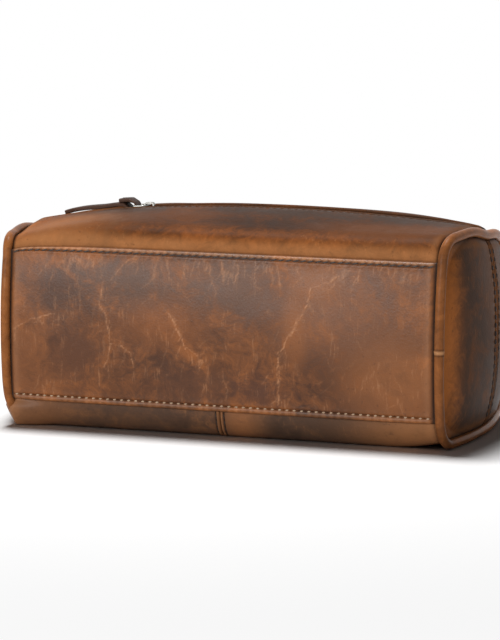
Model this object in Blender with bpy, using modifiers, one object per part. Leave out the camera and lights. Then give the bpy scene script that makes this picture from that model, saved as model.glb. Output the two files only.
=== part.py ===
"""A box-shaped leather shaving kit bag with piped ends, a zip along its ridge and a leather zip pull.

The bag stands on its base with the zip on top. X runs along the bag, the front faces -Y and Z is up.
The body is one lofted shell that every panel is cut from, so a panel is a sheet on that shell with a
thickness, and panels that lap lie one leather thickness apart.
"""

import math

import bmesh
import bpy
from mathutils import Vector

# The body's shell
HALF_LENGTH = 0.113  # middle of the bag to the piping along the front and back edges
END_BOW = 0.0075  # how much further the piping stands out at the middle of an end
END_PUFF = 0.006  # how far an end panel swells past its piping
END_PUFF_POWER = 0.7  # a lower value makes it swell closer to the piping
WALL_HALF = 0.0575  # middle of the bag to the front wall
WALL_SWELL = 0.0022  # outward swell of the front and back at half height
BASE_HALF = 0.047  # half width of the flat base
BASE_FLAT_X = 0.085  # the base is flat this far to each side, then rises to the ends
FOOT_TUCK = 0.005  # how far the lower front corner of the left end is pushed in
FOOT_TUCK_PLACE = 1.1
FOOT_TUCK_POWER = 4
END_LIFT = 0.0034  # height of the base at the ends, where it rests on the piping
CORNER_HEIGHT = 0.017  # the rounded edge between base and wall ends here
WALL_TOP = 0.090  # the wall starts to round over into the top here
SHOULDER_HALF = 0.044  # fold line of the lips
SHOULDER_HEIGHT = 0.1056
SHOULDER_ROUNDING = 2.0  # a higher value makes the edge between wall and top squarer
SHOULDER_SLOPE_END = 0.06  # rise of the top at the fold line, at the ends and in the middle
SHOULDER_SLOPE_MIDDLE = 0.22
RIDGE_HEIGHT = 0.1114  # the ridge is an arc, highest a little to the right of the middle
RIDGE_PEAK_X = 0.012
RIDGE_RADIUS = 0.96
END_DROP = 0.0046  # how far the ridge turns down into the piping at both ends
END_DROP_POWER = 70
RIGHT_SINK = 0.0018  # how far the front fold of the top sinks just beside the right end's piping
LEFT_WALL_SINK = 0.003  # how far the head of the front wall sinks beside the left end's piping
LEFT_WALL_SINK_POWER = 20
SLUMP = 0.0092  # how far the left end's top has sunk at its fold
SLUMP_START_X = -0.050
SLUMP_AT_RIDGE = 0.27  # share of the slump at the zip
BACK_SLUMP = 0.0105  # how far the back of the top has sunk at both ends
BACK_SLUMP_POWER = 7  # a higher value keeps it closer to the ends
BACK_SLUMP_AT_WALL = 0.6  # share of it at the head of the back wall
BACK_ROUNDING = 0.6  # how much rounder the back's edge is at both ends
RIDGE_TILT = 0.09  # fall of the top towards the back, across the zip, at both ends

# Materials and gaps
LEATHER = 0.002
LINING = 0.0008
GAP = 0.0004
THREAD_RADIUS = 0.00025
PIPING_RADIUS = 0.0024
PIPING_WALL = 0.0009
PIPING_OUT = 0.0005  # the piping's centre line stands this far outside the shell
PIPING_STEP = 0.0012  # and this much further beside the lapped front and back panels
PIPING_SLIT = 0.0004  # at the piping's butt joint
CORD_RADIUS = 0.001
PIPING_ROOM = PIPING_RADIUS + GAP  # clear of the piping's centre line
END_ROOM = PIPING_ROOM + 0.0006  # the end panels slope as they meet the piping, so they need more

# Places on the shell's half outline: 0 base middle, 1 base edge, 2 wall foot, 3 wall top, 4 fold, 5 ridge
BASE_LAP = 2.1
FRONT_FOOT_FOLD = 1.875
FRONT_HEAD_FOLD = 3.105
TOP_LAP = 2.9
LIP_FOLD = 4.0
FOOT_STITCH = 2.0
HEAD_STITCH = 3.03
PIPING_JOINT = 2.45
OUTLINE = (
    [0, 0.5, 1, 1.25, 1.5, 1.75, FRONT_FOOT_FOLD, 2, BASE_LAP]
    + [2.3, 2.5, 2.7, TOP_LAP, 3, FRONT_HEAD_FOLD, 3.35, 3.55, 3.75, LIP_FOLD]
    + [4.2, 4.4, 4.6, 4.75]
)

# The zip
LIP_EDGE = 0.0058  # middle of the zip to the leather's edge beside it
LIP_LEFT = -0.050
LIP_RIGHT = 0.082
ZIP_LEFT = -0.0645
ZIP_RIGHT = 0.101
CHAIN_DEPTH = 0.0035  # the chain's middle lies this far under the ridge
TOOTH_HALF = 0.001
TOOTH_PITCH = 0.004
TOOTH_TIP = 0.0006
TOOTH_SPINE = 0.0018
TOOTH_ROOT = 0.0030
TAPE_INNER = 0.0034
TAPE_OUTER = 0.0140
TAPE_MARGIN = 0.002  # from a tape's outer edge to the lip's lining
TAPE = 0.0006
TAPE_STEP = 0.022  # a tape follows the zip's curve in lengths like this
TAPE_DEPTH = CHAIN_DEPTH - TAPE / 2
STOP_LENGTH = 0.0025
LIP_SLIT = 0.0006  # along a lip's fold and ends
END_TAB_DEPTH = 0.0022  # the leather past the ends of the zip lies this far under the ridge
END_TAB_GAP = 0.0012  # between a stop and the leather tab that ends the zip
SLIDER_X = -0.058
SLIDER_LENGTH = 0.011
SLIDER_HALF_WIDTH = 0.0042
SLIDER_PLATE = 0.0011
SLIDER_ROOM = 0.0003
POST_HALF = 0.0003
POST_LENGTH = 0.004
BRIDGE_LENGTH = 0.0056
BRIDGE_HALF_WIDTH = 0.0012
BRIDGE_LEG = 0.0009
BRIDGE_ROOF = 0.0008
RING_WIRE = 0.0005
RING_PIVOT_X = -0.0012  # from the slider's middle
RING_PIVOT_UP = 0.0002  # above the ridge
RING_HALF_WIDTH = 0.00485
RING_LENGTH = 0.0065
RING_CORNER = 0.0012
TAB_HALF_WIDTH = 0.0042
TAB_LENGTH = 0.038
TAB_DOUBLED = 0.0075
TAB_THICK = 0.0021
TAB_EYE = 0.0009  # radius of the eye round the ring
TAB_NOSE = 0.00175  # outer radius of the leather round the eye
TAB_LIFT = 0.0003  # above the ridge
TAB_DROOP = 0.0018  # how far its end hangs below the zip's own curve

# The inside
BOARD_HALF_X = 0.095
BOARD_HALF_Y = 0.045
BOARD_FOOT = 0.0036
BOARD = 0.0020
LINING_DEPTH = LEATHER + GAP
LINING_BASE_HALF_X = 0.099
LINING_BASE_HALF_Y = 0.049
LINING_BASE_FOOT = BOARD_FOOT + BOARD + GAP
LINING_ROWS = (1.5, 1.75, 2, 2.5, 3, 3.35, 3.75)
LINING_SIDE_INSET = 0.009
LINING_END_INSET = 0.0045
LINING_END_SCALE = 0.85
END_MIDDLE = 0.052  # height of the middle of an end panel
END_THREAD_STEPS = (0.06, 0.12, 0.25, 0.5, 0.75, 0.88, 0.94)  # shares of the seam's height

for old in list(bpy.data.objects):
    bpy.data.objects.remove(old, do_unlink=True)
bag = bpy.data.collections.new("shaving_kit_bag")
cutters = bpy.data.collections.new("cutters")
bpy.context.scene.collection.children.link(bag)
bpy.context.scene.collection.children.link(cutters)


def finish(name, colour, roughness, metallic=0.0):
    """A plain Principled material."""
    material = bpy.data.materials.new(name)
    material.use_nodes = True
    shader = material.node_tree.nodes["Principled BSDF"]
    shader.inputs["Base Color"].default_value = (*colour, 1)
    shader.inputs["Roughness"].default_value = roughness
    shader.inputs["Metallic"].default_value = metallic
    return material


FINISHES = {
    "leather": finish("brown_leather", (0.18, 0.075, 0.032), 0.45),
    "dark_leather": finish("dark_leather", (0.045, 0.022, 0.016), 0.5),
    "thread": finish("brown_thread", (0.12, 0.06, 0.03), 0.8),
    "tape": finish("zip_tape", (0.03, 0.018, 0.012), 0.85),
    "metal": finish("nickel", (0.62, 0.61, 0.58), 0.3, 1.0),
    "lining": finish("lining_cloth", (0.10, 0.085, 0.065), 0.9),
    "board": finish("grey_board", (0.30, 0.29, 0.27), 0.9),
    "cord": finish("cotton_cord", (0.55, 0.50, 0.42), 0.9),
}


def ridge(x):
    """Height of the zip's arc."""
    return RIDGE_HEIGHT - RIDGE_RADIUS + math.sqrt(RIDGE_RADIUS**2 - (x - RIDGE_PEAK_X) ** 2)


def end_x(y):
    """How far from the middle the piping of an end stands, at a place across the bag."""
    return HALF_LENGTH + END_BOW * (1 - min(1, (y / WALL_HALF) ** 2))


def slump(x):
    """How far the top has sunk at a station along the bag."""
    return SLUMP * max(0, (x - SLUMP_START_X) / (-HALF_LENGTH - SLUMP_START_X)) ** 2


def foot_tuck(side, s):
    """How far an end is pushed in at a place on its rim: only at the left end's lower front corner."""
    if side > 0 or s < 0:
        return 0
    return FOOT_TUCK * max(0, 1 - (s - FOOT_TUCK_PLACE) ** 2) ** 2


def fixed(x):
    """A column of a sheet at one station along the bag."""
    return lambda s: x


def short_of_end(side, inset):
    """A column of a sheet that follows an end of the bag, that far inside its piping."""
    return lambda s: side * (end_x(outline_point(HALF_LENGTH, s).x) - foot_tuck(side, s) - inset)


def hermite(start, start_run, stop, stop_run, t):
    """A point of the smooth curve that leaves start along start_run and reaches stop along stop_run."""
    return (
        start * (2 * t**3 - 3 * t**2 + 1)
        + start_run * (t**3 - 2 * t**2 + t)
        + stop * (3 * t**2 - 2 * t**3)
        + stop_run * (t**3 - t**2)
    )


def outline_point(x, place):
    """(y, z) of half the shell at a station along the bag and a place on the outline.

    A negative place is on the back half, which is given as if it were turned round to the front.
    """
    s, back = abs(place), place < 0
    u = min(1, abs(x) / HALF_LENGTH)
    past_flat = max(0, (abs(x) - BASE_FLAT_X) / (HALF_LENGTH - BASE_FLAT_X))
    foot = END_LIFT * min(1, past_flat) ** 2
    slope = SHOULDER_SLOPE_END + (SHOULDER_SLOPE_MIDDLE - SHOULDER_SLOPE_END) * (1 - u * u)
    towards_end = u**BACK_SLUMP_POWER
    tilt = -RIDGE_TILT * towards_end
    wall_top, sunk, rounding = WALL_TOP, slump(x), SHOULDER_ROUNDING
    if back:
        tilt = -tilt
        wall_top -= BACK_SLUMP_AT_WALL * BACK_SLUMP * towards_end
        sunk += (BACK_SLUMP - sunk) * towards_end
        rounding -= BACK_ROUNDING * towards_end
    else:
        wall_top -= LEFT_WALL_SINK * min(1, max(0, -x / HALF_LENGTH)) ** LEFT_WALL_SINK_POWER
        sunk += RIGHT_SINK * min(1, max(0, x / HALF_LENGTH)) ** END_DROP_POWER
    wall_head = Vector((-WALL_HALF, wall_top))
    shoulder = Vector((-SHOULDER_HALF, SHOULDER_HEIGHT - sunk))
    if s <= 1:
        return Vector((-BASE_HALF * s, foot))
    if s <= 2:
        turn = (s - 1) * math.pi / 2
        return Vector(
            (
                -BASE_HALF - (WALL_HALF - BASE_HALF) * math.sin(turn),
                foot + (CORNER_HEIGHT - foot) * (1 - math.cos(turn)),
            )
        )
    if s <= 3:
        up = s - 2
        swell = WALL_SWELL * math.sin(math.pi * up)
        return Vector((-WALL_HALF - swell, CORNER_HEIGHT + (wall_top - CORNER_HEIGHT) * up))
    if s <= 4:
        rise = rounding * (shoulder.y - wall_top)
        run = rounding * (WALL_HALF - SHOULDER_HALF)
        return hermite(wall_head, Vector((0, rise)), shoulder, Vector((run, run * slope)), s - 3)
    drop = END_DROP * min(1, abs(x) / (HALF_LENGTH + END_BOW)) ** END_DROP_POWER
    top = Vector((0, ridge(x) - drop - SLUMP_AT_RIDGE * slump(x)))
    run = SHOULDER_HALF
    return hermite(shoulder, Vector((run, run * slope)), top, Vector((run, run * tilt)), s - 4)


def outline_normal(x, place):
    """Outward direction (y, z) of half the shell."""
    step = 0.01
    low, high = max(0, abs(place) - step), min(5, abs(place) + step)
    if place < 0:
        low, high = -low, -high
    along = outline_point(x, high) - outline_point(x, low)
    return Vector((-along.y, along.x)).normalized()


def shell(column, s, out=0.0):
    """A point of a column on the shell, or that far outside it. Negative s is the back."""
    station = column(s)
    flat = outline_point(station, s) + outline_normal(station, s) * out
    return Vector((station, flat.x if s >= 0 else -flat.x, flat.y))


def place_for(across):
    """Place on the outline of a point between the fold and the ridge, that far from the middle."""
    return 5 - across / SHOULDER_HALF


LIP_EDGE_PLACE = place_for(LIP_EDGE)
LIP_LINING_ROWS = (4.1, 4.35, place_for(TAPE_OUTER + TAPE_MARGIN))


def outline_between(low, high):
    """The outline's own places from low to high, with both ends."""
    return [low] + [s for s in OUTLINE if low < s < high] + [high]


def facing(back, values):
    """Places or distances of the front half, or the same ones on the back half."""
    return [-value for value in values] if back else list(values)


def add_object(name, data, look):
    """A named object of the bag with one of its materials."""
    made = bpy.data.objects.new(name, data)
    data.materials.append(FINISHES[look])
    bag.objects.link(made)
    return made


def add_sheet(name, columns, rows, place, thickness, look, back=False, outwards=False, notch=None):
    """A sheet of material: a grid laid on a surface, with Solidify for its thickness.

    place(column, row) gives each corner. back is true for a sheet on the back half, whose rows or
    columns run the other way round. notch(column, row) is true for the cells that are cut out.
    """
    mesh = bmesh.new()
    last_column, last_row = len(columns) - 1, len(rows) - 1
    bmesh.ops.create_grid(mesh, x_segments=last_column, y_segments=last_row, size=1)
    cells = {}
    for corner in mesh.verts:
        i = round((corner.co.x + 1) / 2 * last_column)
        j = round((corner.co.y + 1) / 2 * last_row)
        cells[corner] = (i, j)
    if notch:
        cut = []
        for face in mesh.faces:
            i = min(cells[corner][0] for corner in face.verts)
            j = min(cells[corner][1] for corner in face.verts)
            if notch(i, j):
                cut.append(face)
        bmesh.ops.delete(mesh, geom=cut, context="FACES")
    for corner in mesh.verts:
        i, j = cells[corner]
        corner.co = place(columns[i], rows[j])
    if back:
        bmesh.ops.reverse_faces(mesh, faces=mesh.faces)
    bmesh.ops.remove_doubles(mesh, verts=mesh.verts, dist=1e-6)
    data = bpy.data.meshes.new(name)
    mesh.to_mesh(data)
    mesh.free()
    made = add_object(name, data, look)
    wall = made.modifiers.new("thickness", "SOLIDIFY")
    wall.thickness = thickness
    wall.offset = 1 if outwards else -1
    wall.use_even_offset = True
    return made


def add_wire(name, points, radius, look, cyclic=False, sides=8, hollow=0.0):
    """A round wire or cord through points, or a tube with that wall if hollow."""
    data = bpy.data.curves.new(name, "CURVE")
    data.dimensions = "3D"
    data.bevel_depth = radius
    data.bevel_resolution = sides // 2 - 2
    data.use_fill_caps = not hollow
    run = data.splines.new("POLY")
    run.points.add(len(points) - 1)
    for knot, point in zip(run.points, points):
        knot.co = (*point, 1)
    run.use_cyclic_u = cyclic
    made = add_object(name, data, look)
    if hollow:
        wall = made.modifiers.new("wall", "SOLIDIFY")
        wall.thickness = hollow
        wall.offset = -1
    return made


def add_box(name, low, high, look, collection=None):
    """A box between two corners, with its origin in its middle."""
    low, high = Vector(low), Vector(high)
    mesh = bmesh.new()
    bmesh.ops.create_cube(mesh, size=1)
    bmesh.ops.scale(mesh, vec=high - low, verts=mesh.verts)
    data = bpy.data.meshes.new(name)
    mesh.to_mesh(data)
    mesh.free()
    made = add_object(name, data, look)
    made.location = (low + high) / 2
    if collection:
        bag.objects.unlink(made)
        collection.objects.link(made)
    return made


def join_in(target, *others):
    """Boolean union of other boxes into the target, which leaves the others as guides."""
    for other in others:
        other.hide_render = True
        other.display_type = "WIRE"
        union = target.modifiers.new("join", "BOOLEAN")
        union.operation = "UNION"
        union.object = other


LEFT_END = short_of_end(-1, PIPING_ROOM)
RIGHT_END = short_of_end(1, PIPING_ROOM)
STATIONS = [-0.106, -0.098, -0.085, -0.05, -0.02, 0.015, 0.05, 0.085, 0.098, 0.106]
COLUMNS = [fixed(x) for x in STATIONS]
SEAM_ROW = 0.0026  # from a seam to the row of stitches on each side of it
BACKS = (("front", False), ("back", True))
SIDES = (("left", -1), ("right", 1))


def add_front_and_back():
    """The front and back panels lap over the base wrap and the top strips, edges turned under."""
    for face, back in BACKS:
        add_sheet(
            f"{face}_panel",
            [LEFT_END, *COLUMNS, RIGHT_END],
            facing(back, outline_between(FRONT_FOOT_FOLD, FRONT_HEAD_FOLD)),
            lambda column, s: shell(column, s, GAP),
            LEATHER,
            "leather",
            back=back,
            outwards=True,
        )
        for edge, place in (("lower", FOOT_STITCH), ("upper", HEAD_STITCH)):
            out = GAP + LEATHER + GAP + THREAD_RADIUS
            sign = -1 if back else 1
            columns = [short_of_end(-1, 2 * PIPING_ROOM), *COLUMNS, short_of_end(1, 2 * PIPING_ROOM)]
            points = [shell(column, sign * place, out) for column in columns]
            add_wire(f"{face}_{edge}_thread", points, THREAD_RADIUS, "thread", sides=4)


def add_base():
    """Two halves of base leather with a butt seam between them, and the board that keeps the base flat."""
    places = outline_between(0, BASE_LAP)
    rows = [-s for s in reversed(places[1:])] + places
    for side_name, side in SIDES:
        seam = fixed(side * GAP / 2)
        between = [fixed(x) for x in STATIONS if x * side > 0]
        columns = [LEFT_END, *between, seam] if side < 0 else [seam, *between, RIGHT_END]
        add_sheet(f"base_{side_name}", columns, rows, shell, LEATHER, "leather")
    low = (-BOARD_HALF_X, -BOARD_HALF_Y, BOARD_FOOT)
    high = (BOARD_HALF_X, BOARD_HALF_Y, BOARD_FOOT + BOARD)
    add_box("base_board", low, high, "board")


def piping_out(s):
    """How far outside the shell the piping's centre line runs: further beside the lapped panels."""
    beside_panel = max(0, 1 - (2 * (abs(s) - 2.5)) ** 4)
    return PIPING_OUT + PIPING_STEP * beside_panel


def piping_point(side, s, inside=0.0):
    """A point of an end's piping, or that far inside the ring it makes."""
    return shell(short_of_end(side, 0), s, piping_out(s) - inside)


def end_puff(share):
    """How far an end panel swells: share 1 is its rim and 0 its middle."""
    return END_PUFF * max(0, 1 - share * share) ** END_PUFF_POWER


def end_surface(side, back, s, share):
    """A point of an end's leather: share 1 is its rim at a place on the outline and 0 its middle."""
    place = -s if back else s
    rim = piping_point(side, place, END_ROOM)
    y = max(abs(rim.y) * share, GAP / 2) * (1 if back else -1)
    z = END_MIDDLE + (rim.z - END_MIDDLE) * share
    pushed = foot_tuck(side, place) * share**FOOT_TUCK_POWER
    return Vector((side * (end_x(y) - pushed + end_puff(share) + GAP), y, z))


def end_seam_point(side, across, t):
    """A point of a thread beside an end's centre seam, from the seam's foot at 0 to its head at 1."""
    foot = piping_point(side, 0, END_ROOM).z
    head = piping_point(side, 5, END_ROOM).z
    z = foot + (head - foot) * t
    reach = foot - END_MIDDLE if z < END_MIDDLE else head - END_MIDDLE
    share = (z - END_MIDDLE) / reach
    out = 2 * GAP + THREAD_RADIUS
    return Vector((side * (end_x(across) + end_puff(share) + out), across, z))


def add_ends():
    """Each end is two leather halves with a centre seam, puffed out inside a ring of piping."""
    shares = [0, 0.4, 0.7, 0.9, 1]
    places = [0, 0.5, 1, 1.5, 2, 2.1, 2.3, 2.7, 2.9, 3, 3.35, 3.75, 4.2, 4.6, 5]
    for side_name, side in SIDES:
        for face, back in BACKS:
            add_sheet(
                f"end_{side_name}_{face}_half",
                places,
                shares,
                lambda s, share: end_surface(side, back, s, share),
                LEATHER,
                "leather",
                back=back,
                outwards=side < 0,
            )
            across = SEAM_ROW if back else -SEAM_ROW
            points = [end_seam_point(side, across, t) for t in END_THREAD_STEPS]
            add_wire(f"end_{side_name}_{face}_thread", points, THREAD_RADIUS, "thread", sides=4)


def add_piping():
    """A leather tube round each end, over a cotton cord, open at a butt joint on the front run."""
    half = [s for s in OUTLINE if s not in (FRONT_FOOT_FOLD, BASE_LAP, TOP_LAP)]
    joint = PIPING_SLIT / 2 / (WALL_TOP - CORNER_HEIGHT)
    up = [s for s in half if s > PIPING_JOINT] + [5]
    down = [s for s in half if s < PIPING_JOINT]
    loop = [PIPING_JOINT + joint] + up + [-s for s in reversed(half) if s > 0] + down
    loop.append(PIPING_JOINT - joint)
    for side_name, side in SIDES:
        points = [piping_point(side, s) for s in loop]
        add_wire(f"piping_{side_name}", points, PIPING_RADIUS, "leather", hollow=PIPING_WALL)
        add_wire(f"piping_cord_{side_name}", points, CORD_RADIUS, "cord", sides=6)


def add_top():
    """The top strips run from under the front and back panels to the zip; their middles fold as lips."""
    stations = [-0.106, -0.098, -0.075, LIP_LEFT, -0.02, 0.015, 0.05, LIP_RIGHT, 0.098, 0.106]
    columns = [LEFT_END, *[fixed(x) for x in stations], RIGHT_END]
    first, last = stations.index(LIP_LEFT) + 1, stations.index(LIP_RIGHT) + 1
    rows = outline_between(TOP_LAP, LIP_EDGE_PLACE)
    fold = rows.index(LIP_FOLD)
    lip_columns = [fixed(LIP_LEFT + LIP_SLIT), *columns[first + 1 : last], fixed(LIP_RIGHT - LIP_SLIT)]
    lip_rows = outline_between(LIP_FOLD + LIP_SLIT / SHOULDER_HALF, LIP_EDGE_PLACE)
    stitch = place_for(LIP_EDGE + SEAM_ROW)
    for face, back in BACKS:
        sign = -1 if back else 1
        add_sheet(
            f"top_strip_{face}",
            columns,
            facing(back, rows),
            shell,
            LEATHER,
            "leather",
            back=back,
            notch=lambda i, j: first <= i < last and j >= fold,
        )
        hinge = bpy.data.objects.new(f"{face}_lip_fold", None)
        hinge.location = (0, -sign * SHOULDER_HALF, SHOULDER_HEIGHT)
        bag.objects.link(hinge)
        own_rows = facing(back, lip_rows)
        lip = add_sheet(f"{face}_lip", lip_columns, own_rows, shell, LEATHER, "leather", back=back)
        lining = add_sheet(
            f"{face}_lip_lining",
            lip_columns,
            facing(back, LIP_LINING_ROWS),
            lambda column, s: shell(column, s, -LINING_DEPTH),
            LINING,
            "lining",
            back=back,
        )
        points = [shell(column, sign * stitch, GAP + THREAD_RADIUS) for column in lip_columns]
        thread = add_wire(f"{face}_lip_thread", points, THREAD_RADIUS, "thread", sides=4)
        for piece in (lip, lining, thread, *add_zip_side(face, back)):
            piece.parent = hinge
            piece.matrix_parent_inverse.translation = -hinge.location


def stations_between(left, right, step):
    """Even stations along the bag, about a step apart."""
    count = max(1, round((right - left) / step))
    return [left + (right - left) * i / count for i in range(count + 1)]


def add_zip_side(face, back):
    """One side of the zip, a tape and a comb of teeth, in three lengths; returns the lip's own length."""
    lengths = (
        ("left_zip", ZIP_LEFT, LIP_LEFT),
        ("zip", LIP_LEFT + LIP_SLIT, LIP_RIGHT - LIP_SLIT),
        ("right_zip", LIP_RIGHT, ZIP_RIGHT),
    )
    moving = []
    for owner, left, right in lengths:
        tape = add_sheet(
            f"{face}_{owner}_tape",
            [fixed(x) for x in stations_between(left, right, TAPE_STEP)],
            facing(back, [place_for(TAPE_OUTER), place_for(TAPE_INNER)]),
            lambda column, s: shell(column, s, -TAPE_DEPTH),
            TAPE,
            "tape",
            back=back,
        )
        teeth = add_sheet(
            f"{face}_{owner}_teeth",
            stations_between(left, right, TOOTH_PITCH / 2),
            facing(back, [TOOTH_ROOT, TOOTH_SPINE, TOOTH_TIP]),
            lambda x, y: Vector((x, -y, ridge(x) - CHAIN_DEPTH + TOOTH_HALF)),
            2 * TOOTH_HALF,
            "metal",
            back=back,
            notch=lambda i, j: j == 1 and i % 2 == 1,
        )
        if owner == "zip":
            moving = [tape, teeth]
    return moving


def add_zip_ends():
    """Metal stops past both ends of the chain, and the leather tabs that finish the zip."""
    left = ZIP_LEFT - GAP
    for face, sign in (("front", -1), ("back", 1)):
        middle = ridge(left) - CHAIN_DEPTH
        ys = sorted((sign * TOOTH_TIP, sign * TOOTH_ROOT))
        low = (left - STOP_LENGTH, ys[0], middle - TOOTH_HALF)
        add_box(f"top_stop_{face}", low, (left, ys[1], middle + TOOTH_HALF), "metal")
    right = ZIP_RIGHT + GAP
    middle = ridge(right) - CHAIN_DEPTH
    low = (right, -TOOTH_ROOT, middle - TOOTH_HALF)
    add_box("bottom_stop", low, (right + STOP_LENGTH, TOOTH_ROOT, middle + TOOTH_HALF), "metal")
    beside_lip = place_for(LIP_EDGE - GAP)
    rows = [beside_lip, 5, -beside_lip]
    left_start = left - STOP_LENGTH - END_TAB_GAP
    right_start = right + STOP_LENGTH + END_TAB_GAP
    columns = [LEFT_END, fixed(-0.098), fixed(-0.085), fixed(left_start)]
    add_sheet("zip_end_tab_left", columns, rows, end_tab_point, LEATHER, "leather")
    columns = [fixed(right_start), RIGHT_END]
    add_sheet("zip_end_tab_right", columns, rows, end_tab_point, LEATHER, "leather")


def end_tab_point(column, s):
    """A point of the leather that closes the slot past an end of the zip."""
    return shell(column, s, -END_TAB_DEPTH)


def add_slider():
    """The slider on its curved track, its bridge, the ring through the bridge and the leather pull."""
    track = bpy.data.objects.new("zip_track", None)
    track.location = (RIDGE_PEAK_X, 0, RIDGE_HEIGHT - RIDGE_RADIUS)
    lean = math.asin((SLIDER_X - RIDGE_PEAK_X) / RIDGE_RADIUS)
    track.rotation_euler = (0, lean, 0)
    bag.objects.link(track)
    up = RIDGE_RADIUS
    chain = up - CHAIN_DEPTH
    inner = TOOTH_HALF + SLIDER_ROOM
    outer = inner + SLIDER_PLATE
    half = SLIDER_LENGTH / 2
    low = (-half, -SLIDER_HALF_WIDTH, chain + inner)
    slider = add_box("zip_slider", low, (half, SLIDER_HALF_WIDTH, chain + outer), "metal")
    low = (-half, -SLIDER_HALF_WIDTH, chain - outer)
    under = add_box("under_plate", low, (half, SLIDER_HALF_WIDTH, chain - inner), "metal", cutters)
    sunk = SLIDER_PLATE / 2
    low = (half - POST_LENGTH, -POST_HALF, chain - inner - sunk)
    high = (half - GAP, POST_HALF, chain + inner + sunk)
    post = add_box("post", low, high, "metal", cutters)
    join_in(slider, post, under)
    foot = chain + outer + SLIDER_ROOM
    roof = up + RING_PIVOT_UP + RING_WIRE + SLIDER_ROOM
    bridge_half = BRIDGE_LENGTH / 2
    leg = bridge_half - BRIDGE_LEG
    arch = [
        (-bridge_half, foot),
        (-leg, foot),
        (-leg, roof),
        (leg, roof),
        (leg, foot),
        (bridge_half, foot),
        (bridge_half, roof + BRIDGE_ROOF / 2),
        (leg, roof + BRIDGE_ROOF),
        (-leg, roof + BRIDGE_ROOF),
        (-bridge_half, roof + BRIDGE_ROOF / 2),
    ]
    bridge = add_profile("slider_bridge", [arch], BRIDGE_HALF_WIDTH, "metal")
    pivot_up = up + RING_PIVOT_UP
    ring = add_wire("pull_ring", ring_points(), RING_WIRE, "metal", cyclic=True, sides=6)
    ring.location = (RING_PIVOT_X, 0, pivot_up)
    tab = add_profile("pull_tab", tab_outlines(), TAB_HALF_WIDTH, "dark_leather")
    tab.location = (RING_PIVOT_X - RING_LENGTH, 0, pivot_up)
    for piece in (slider, under, post, bridge, ring, tab):
        piece.parent = track


def ring_points():
    """The ring's wire: a rectangle with round corners, lying towards -X from its pivot."""
    points = []
    corners = (
        (-RING_CORNER, RING_HALF_WIDTH - RING_CORNER, 0),
        (RING_CORNER - RING_LENGTH, RING_HALF_WIDTH - RING_CORNER, 1),
        (RING_CORNER - RING_LENGTH, RING_CORNER - RING_HALF_WIDTH, 2),
        (-RING_CORNER, RING_CORNER - RING_HALF_WIDTH, 3),
    )
    for x, y, quarter in corners:
        for step in (0, 0.5, 1):
            turn = (quarter + step) * math.pi / 2
            points.append((x + RING_CORNER * math.cos(turn), y + RING_CORNER * math.sin(turn), 0))
    return points


def tab_outlines():
    """Side view of the leather pull: doubled over at its eye, then a single strip along the ridge."""
    foot = TAB_LIFT - RING_PIVOT_UP
    eye_x = RING_PIVOT_X - RING_LENGTH

    def droop(x):
        """How far the ridge has curved away under the pull, and the pull's own end with it."""
        curve = ((eye_x - x) ** 2 - eye_x**2) / (2 * RIDGE_RADIUS)
        return curve + TAB_DROOP * (x / TAB_LENGTH) ** 3

    doubled = [TAB_EYE, TAB_DOUBLED / 2, TAB_DOUBLED - GAP]
    strip = [TAB_DOUBLED, TAB_LENGTH / 2, 0.8 * TAB_LENGTH, TAB_LENGTH]
    top = [(-x, foot + 2 * TAB_THICK - droop(x)) for x in doubled]
    single = [(-x, foot + TAB_THICK - droop(x)) for x in strip]
    under = [(-x, foot - droop(x)) for x in reversed(strip)]
    turns = [math.radians(angle) for angle in (-90, -45, 0, 45)]
    front = [(TAB_NOSE * math.cos(turn), TAB_NOSE * math.sin(turn)) for turn in turns]
    turns = [-step * math.pi / 4 for step in range(8)]
    eye = [(TAB_EYE * math.cos(turn), TAB_EYE * math.sin(turn)) for turn in turns]
    return [front + top + single + under, eye]


def add_profile(name, outlines, half_width, look):
    """A side view in X and Z, as a flat curve with an extrude across the bag."""
    data = bpy.data.curves.new(name, "CURVE")
    data.dimensions = "2D"
    data.fill_mode = "BOTH"
    data.extrude = half_width
    for outline in outlines:
        run = data.splines.new("POLY")
        run.points.add(len(outline) - 1)
        for knot, (x, z) in zip(run.points, outline):
            knot.co = (x, z, 0, 1)
        run.use_cyclic_u = True
    made = add_object(name, data, look)
    made.rotation_euler = (math.pi / 2, 0, 0)
    return made


def add_lining():
    """Cloth inside the body: a wall at the front and back, one at each end and one over the board."""
    left, right = short_of_end(-1, LINING_SIDE_INSET), short_of_end(1, LINING_SIDE_INSET)
    columns = [left, *[fixed(x) for x in (-0.098, -0.085, -0.02, 0.05, 0.085, 0.098)], right]
    for face, back in BACKS:
        add_sheet(
            f"lining_{face}",
            columns,
            facing(back, LINING_ROWS),
            lambda column, s: shell(column, s, -LINING_DEPTH),
            LINING,
            "lining",
            back=back,
        )
    places = [0, 1, 1.5, 2, 2.5, 3, 3.75, 4.4, 5]
    for side_name, side in SIDES:
        add_sheet(
            f"lining_{side_name}",
            places + [-s for s in reversed(places[:-1])],
            [0, 0.55, 1],
            lambda s, share: lining_end_point(side, s, share),
            LINING,
            "lining",
            outwards=side < 0,
        )
    low = (-LINING_BASE_HALF_X, -LINING_BASE_HALF_Y, LINING_BASE_FOOT)
    high = (LINING_BASE_HALF_X, LINING_BASE_HALF_Y, LINING_BASE_FOOT + LINING)
    add_box("lining_base", low, high, "lining")


def lining_end_point(side, s, share):
    """A point of an end's lining, which hangs flatter than the leather."""
    rim = piping_point(side, s)
    y = rim.y * share * LINING_END_SCALE
    z = END_MIDDLE + (rim.z - END_MIDDLE) * share * LINING_END_SCALE
    pushed = foot_tuck(side, s) * share**FOOT_TUCK_POWER
    return Vector((side * (end_x(y) - pushed - LINING_END_INSET), y, z))


add_front_and_back()
add_base()
add_ends()
add_piping()
add_top()
add_zip_ends()
add_slider()
add_lining()
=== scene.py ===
import math
import random

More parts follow.
